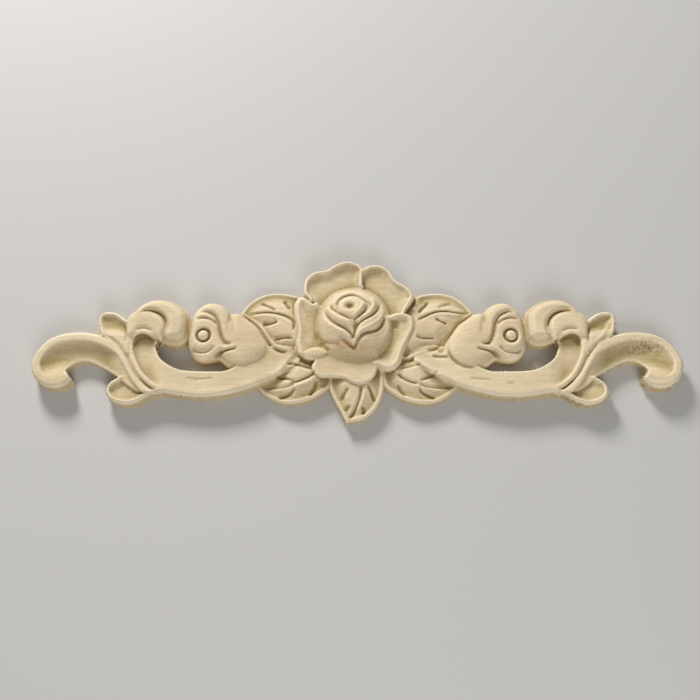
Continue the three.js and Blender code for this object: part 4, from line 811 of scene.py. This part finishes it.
def carved_top(places, depth, height, tone_grid):
    """The carved surface cut off at the outline: points, tones, faces and the edges of its rim."""
    inside = depth > 0
    ids = np.full(inside.shape, -1)
    ids[inside] = np.arange(inside.sum())
    verts = np.column_stack([places[inside], height[inside]]).tolist()
    tones = tone_grid[inside].tolist()
    corner = [(0, 0), (0, 1), (1, 1), (1, 0)]
    quarters = (inside[:-1, :-1], inside[:-1, 1:], inside[1:, 1:], inside[1:, :-1])
    full = np.logical_and.reduce(quarters)
    some = np.logical_or.reduce(quarters)
    at_j, at_i = np.nonzero(full)
    faces = np.stack([ids[at_j + dj, at_i + di] for dj, di in corner], axis=1).tolist()
    crossings = {}

    def crossing(a, b):
        key = (a, b) if a < b else (b, a)
        if key not in crossings:
            t = depth[a] / (depth[a] - depth[b])
            x, y = places[a] + t * (places[b] - places[a])
            crossings[key] = len(verts)
            verts.append([x, y, height[a] + t * (height[b] - height[a])])
            tones.append(tone_grid[a].tolist())
        return crossings[key]

    rim = []
    for j, i in zip(*np.nonzero(some & ~full)):
        ring = [(j + dj, i + di) for dj, di in corner]
        polygon = []
        for k in range(4):
            a = ring[k]
            b = ring[(k + 1) % 4]
            if inside[a]:
                polygon.append(int(ids[a]))
            if inside[a] and not inside[b]:
                leaving = crossing(a, b)
                polygon.append(leaving)
                m = (k + 1) % 4
                while inside[ring[m]] or not inside[ring[(m + 1) % 4]]:
                    m = (m + 1) % 4
                rim.append((leaving, crossing(ring[(m + 1) % 4], ring[m])))
            if not inside[a] and inside[b]:
                polygon.append(crossing(b, a))
        faces.append(polygon)
    return verts, tones, faces, rim


def add_walls(verts, tones, faces, rim):
    """Walls down from the rim, with torn fibres on them. Gives the edges round the flat back."""
    ring_ids = sorted({a for a, b in rim})
    fuzz = soft_patches(np.array(verts)[:, :2], FUZZ)
    lower = {(index, 0): index for index in ring_ids}
    for level in range(1, WALL_ROWS + 1):
        for index in ring_ids:
            x, y, z = verts[index]
            lower[index, level] = len(verts)
            verts.append([x, y, z * (1 - level / WALL_ROWS)])
            tones.append(WALL_SHADE_TONES)
    draw = np.random.default_rng(FIBRE_SEED)
    for a, b in rim:
        outward = np.array([verts[b][1] - verts[a][1], verts[a][0] - verts[b][0], 0])
        outward /= max(np.linalg.norm(outward), TINY)
        for level in range(WALL_ROWS):
            ring = [lower[b, level], lower[a, level], lower[a, level + 1], lower[b, level + 1]]
            if level == WALL_ROWS - 1 or draw.random() > fuzz[a]:
                faces.append(ring)
                continue
            middle = np.mean([verts[k] for k in ring], axis=0)
            lean = outward * draw.uniform(*FIBRE_REACH) + FIBRE_SCATTER * draw.standard_normal(3)
            apex = len(verts)
            verts.append((middle + lean).tolist())
            tones.append(WALL_SHADE_TONES)
            faces += [[ring[k], ring[(k + 1) % 4], apex] for k in range(4)]
    return [(lower[a, WALL_ROWS], lower[b, WALL_ROWS]) for a, b in rim]


def close_back(mesh, edges):
    """Fill the flat back between its border edges."""
    shape = bmesh.new()
    shape.from_mesh(mesh)
    shape.verts.ensure_lookup_table()
    border = [shape.edges.get((shape.verts[a], shape.verts[b])) for a, b in edges]
    filled = bmesh.ops.triangle_fill(shape, edges=border, use_beauty=True, use_dissolve=False)
    for face in filled["geom"]:
        if isinstance(face, bmesh.types.BMFace) and face.normal.z > 0:
            face.normal_flip()
    shape.to_mesh(mesh)
    shape.free()


def carved_mesh():
    """The carving as a fine closed mesh, with its hollows and crests marked for painted shade and
    painted highlights.
    """
    verts, tones, faces, rim = carved_top(*sampled_carving())
    back_edges = add_walls(verts, tones, faces, rim)
    mesh = bpy.data.meshes.new(NODE + "_carved")
    mesh.from_pydata((np.array(verts) * MM).tolist(), [], faces)
    for name, column in zip(("shade_and_highlight", "hollow_shade", "orange_patch"), np.array(tones).T):
        tone = mesh.attributes.new(name, "FLOAT", "POINT")
        tone.data.foreach_set("value", np.ascontiguousarray(column))
    close_back(mesh, back_edges)
    mesh.validate()
    mesh.shade_smooth()
    mesh.set_sharp_from_angle(angle=math.radians(SHARP_ANGLE))
    return mesh


def node(tree, kind, place, **values):
    """A new node, with each value set on its socket of that name or else on the node itself."""
    made = tree.nodes.new(kind)
    made.location = place
    for name, value in values.items():
        if name in made.inputs:
            made.inputs[name].default_value = value
        else:
            setattr(made, name, value)
    return made


def wood_material():
    """Bare pale wood: fine grain along X, darker furrows and olive hollows of painted shade, and
    pale crests of painted highlight.
    """
    material = bpy.data.materials.new("bare_wood")
    material.use_nodes = True
    tree = material.node_tree
    tree.nodes.clear()
    link = tree.links.new
    output = node(tree, "ShaderNodeOutputMaterial", (1300, 0))
    shader = node(tree, "ShaderNodeBsdfPrincipled", (1000, 0))
    shader.inputs["Specular IOR Level"].default_value = 0.3
    link(shader.outputs["BSDF"], output.inputs["Surface"])
    place = node(tree, "ShaderNodeTexCoord", (-1400, 0))

    def noise(scale, place_y, detail, roughness):
        mapping = node(tree, "ShaderNodeMapping", (-1200, place_y), Scale=scale)
        link(place.outputs["Object"], mapping.inputs["Vector"])
        made = node(tree, "ShaderNodeTexNoise", (-900, place_y), Scale=1.0, Detail=detail,
                    Roughness=roughness)
        link(mapping.outputs["Vector"], made.inputs["Vector"])
        return made.outputs["Fac"]

    def spread(source, place_y, low, high, to_low, to_high):
        made = node(tree, "ShaderNodeMapRange", (-600, place_y))
        made.inputs["From Min"].default_value = low
        made.inputs["From Max"].default_value = high
        made.inputs["To Min"].default_value = to_low
        made.inputs["To Max"].default_value = to_high
        link(source, made.inputs["Value"])
        return made.outputs["Result"]

    def times(a, b, place_xy):
        made = node(tree, "ShaderNodeMath", place_xy, operation="MULTIPLY")
        link(a, made.inputs[0])
        link(b, made.inputs[1])
        return made.outputs["Value"]

    def mixed(factor, a, b, place_xy, blend="MIX"):
        made = node(tree, "ShaderNodeMix", place_xy, data_type="RGBA", blend_type=blend)
        for value, name in ((factor, "Factor"), (a, "A"), (b, "B")):
            if isinstance(value, (int, float, tuple)):
                made.inputs[name].default_value = value
            else:
                link(value, made.inputs[name])
        return made.outputs["Result"]

    def tone(name, place_y):
        made = node(tree, "ShaderNodeAttribute", (-900, place_y), attribute_name=name)
        return made.outputs["Fac"]

    grain = noise(GRAIN_SCALE, 300, 5.0, 0.6)
    clouds = noise(CLOUD_SCALE, 0, 3.0, 0.5)
    pores = noise(PORE_SCALE, -300, 2.0, 0.6)
    speckle = noise(SPECKLE_SCALE, -900, 2.0, 0.6)

    base = node(tree, "ShaderNodeValToRGB", (-600, 0))
    base.color_ramp.elements[0].position = 0.30
    base.color_ramp.elements[0].color = DARK_WOOD
    base.color_ramp.elements[1].position = 0.70
    base.color_ramp.elements[1].color = LIGHT_WOOD
    link(clouds, base.inputs["Fac"])
    lines = spread(grain, 300, 0.35, 0.62, 0.91, 1.04)
    pits = spread(pores, -300, 0.27, 0.40, 0.78, 1.0)
    texture = times(lines, pits, (-350, 150))

    shade_and_highlight = tone("shade_and_highlight", -600)
    # Painted shade in narrow furrows
    furrow_shade = spread(shade_and_highlight, -600, -0.01, -0.28, 0.0, 0.95)
    # Painted highlight on crests, kept weaker near the outline
    crest = spread(shade_and_highlight, -750, 0.01, 0.30, 0.0, 0.6)
    # Painted olive shade in broad hollows and on walls
    hollow_shade_share = spread(tone("hollow_shade", -750), -450, 0.0, -0.65, 0.0, 0.9)
    orange_streaks = times(tone("orange_patch", -900), grain, (-350, -900))
    deep = mixed(hollow_shade_share, base.outputs["Color"], OLIVE_PAINTED_SHADE, (-300, 0))
    rusty = mixed(orange_streaks, deep, RUSTY_WOOD, (-200, -100))
    shaded = mixed(furrow_shade, rusty, FURROW_PAINTED_SHADE, (-100, 0))
    highlighted = mixed(crest, shaded, PAINTED_HIGHLIGHT_WOOD, (150, 0))
    # Dark speckles painted only within the olive hollow shade
    dots = spread(speckle, -1050, 0.30, 0.46, 0.55, 1.0)
    dotted = mixed(hollow_shade_share, highlighted, mixed(1.0, highlighted, dots, (200, -200), "MULTIPLY"), (300, -100))
    toned = mixed(1.0, dotted, texture, (400, 0), "MULTIPLY")
    link(toned, shader.inputs["Base Color"])
    link(spread(grain, -200, 0.0, 1.0, 0.60, 0.80), shader.inputs["Roughness"])

    bump = node(tree, "ShaderNodeBump", (700, -400), Strength=BUMP_STRENGTH,
                Distance=BUMP_DISTANCE)
    rough = spread(speckle, -900, 0.3, 0.7, 0.93, 1.0)
    link(times(texture, rough, (400, -300)), bump.inputs["Height"])
    link(bump.outputs["Normal"], shader.inputs["Normal"])
    return material


def add_object(name, data):
    made = bpy.data.objects.new(name, data)
    bpy.context.scene.collection.objects.link(made)
    return made


def add_floor():
    mesh = bpy.data.meshes.new("floor")
    corners = [(x * FLOOR_HALF, y * FLOOR_HALF, 0) for x, y in ((-1, -1), (1, -1), (1, 1), (-1, 1))]
    mesh.from_pydata(corners, [], [(0, 1, 2, 3)])
    material = bpy.data.materials.new("floor_paint")
    material.use_nodes = True
    shader = material.node_tree.nodes["Principled BSDF"]
    shader.inputs["Base Color"].default_value = FLOOR_COLOUR
    shader.inputs["Roughness"].default_value = FLOOR_ROUGHNESS
    mesh.materials.append(material)
    floor = add_object("floor", mesh)


def aim(direction):
    return Vector(direction).to_track_quat("-Z", "Y").to_euler()


def add_light(name, place, size, power, colour):
    light = bpy.data.lights.new(name, "AREA")
    light.shape = "DISK"
    light.size = size
    light.energy = power
    light.color = colour
    lamp = add_object(name, light)
    lamp.location = place
    lamp.rotation_euler = aim(-np.array(place))


def add_camera():
    elevation = math.radians(CAMERA_ELEVATION)
    towards = np.array([0, -math.cos(elevation), math.sin(elevation)])
    place = CAMERA_TARGET + CAMERA_DISTANCE * towards
    data = bpy.data.cameras.new("camera")
    data.lens = CAMERA_LENS
    data.sensor_width = CAMERA_SENSOR
    camera = add_object("camera", data)
    camera.location = place
    camera.rotation_euler = aim(CAMERA_TARGET - place)
    bpy.context.scene.camera = camera


def add_world():
    world = bpy.data.worlds.new("studio")
    world.use_nodes = True
    background = world.node_tree.nodes["Background"]
    background.inputs["Color"].default_value = WORLD_COLOUR
    background.inputs["Strength"].default_value = WORLD_STRENGTH
    bpy.context.scene.world = world
    bpy.context.scene.view_settings.view_transform = "Standard"


carving = add_object("applique_carving", carved_mesh())
carving.data.materials.append(wood_material())
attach(carving, "root")
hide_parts(NODE)

add_floor()
for lamp_values in LIGHTS:
    add_light(*lamp_values)
add_camera()
add_world()
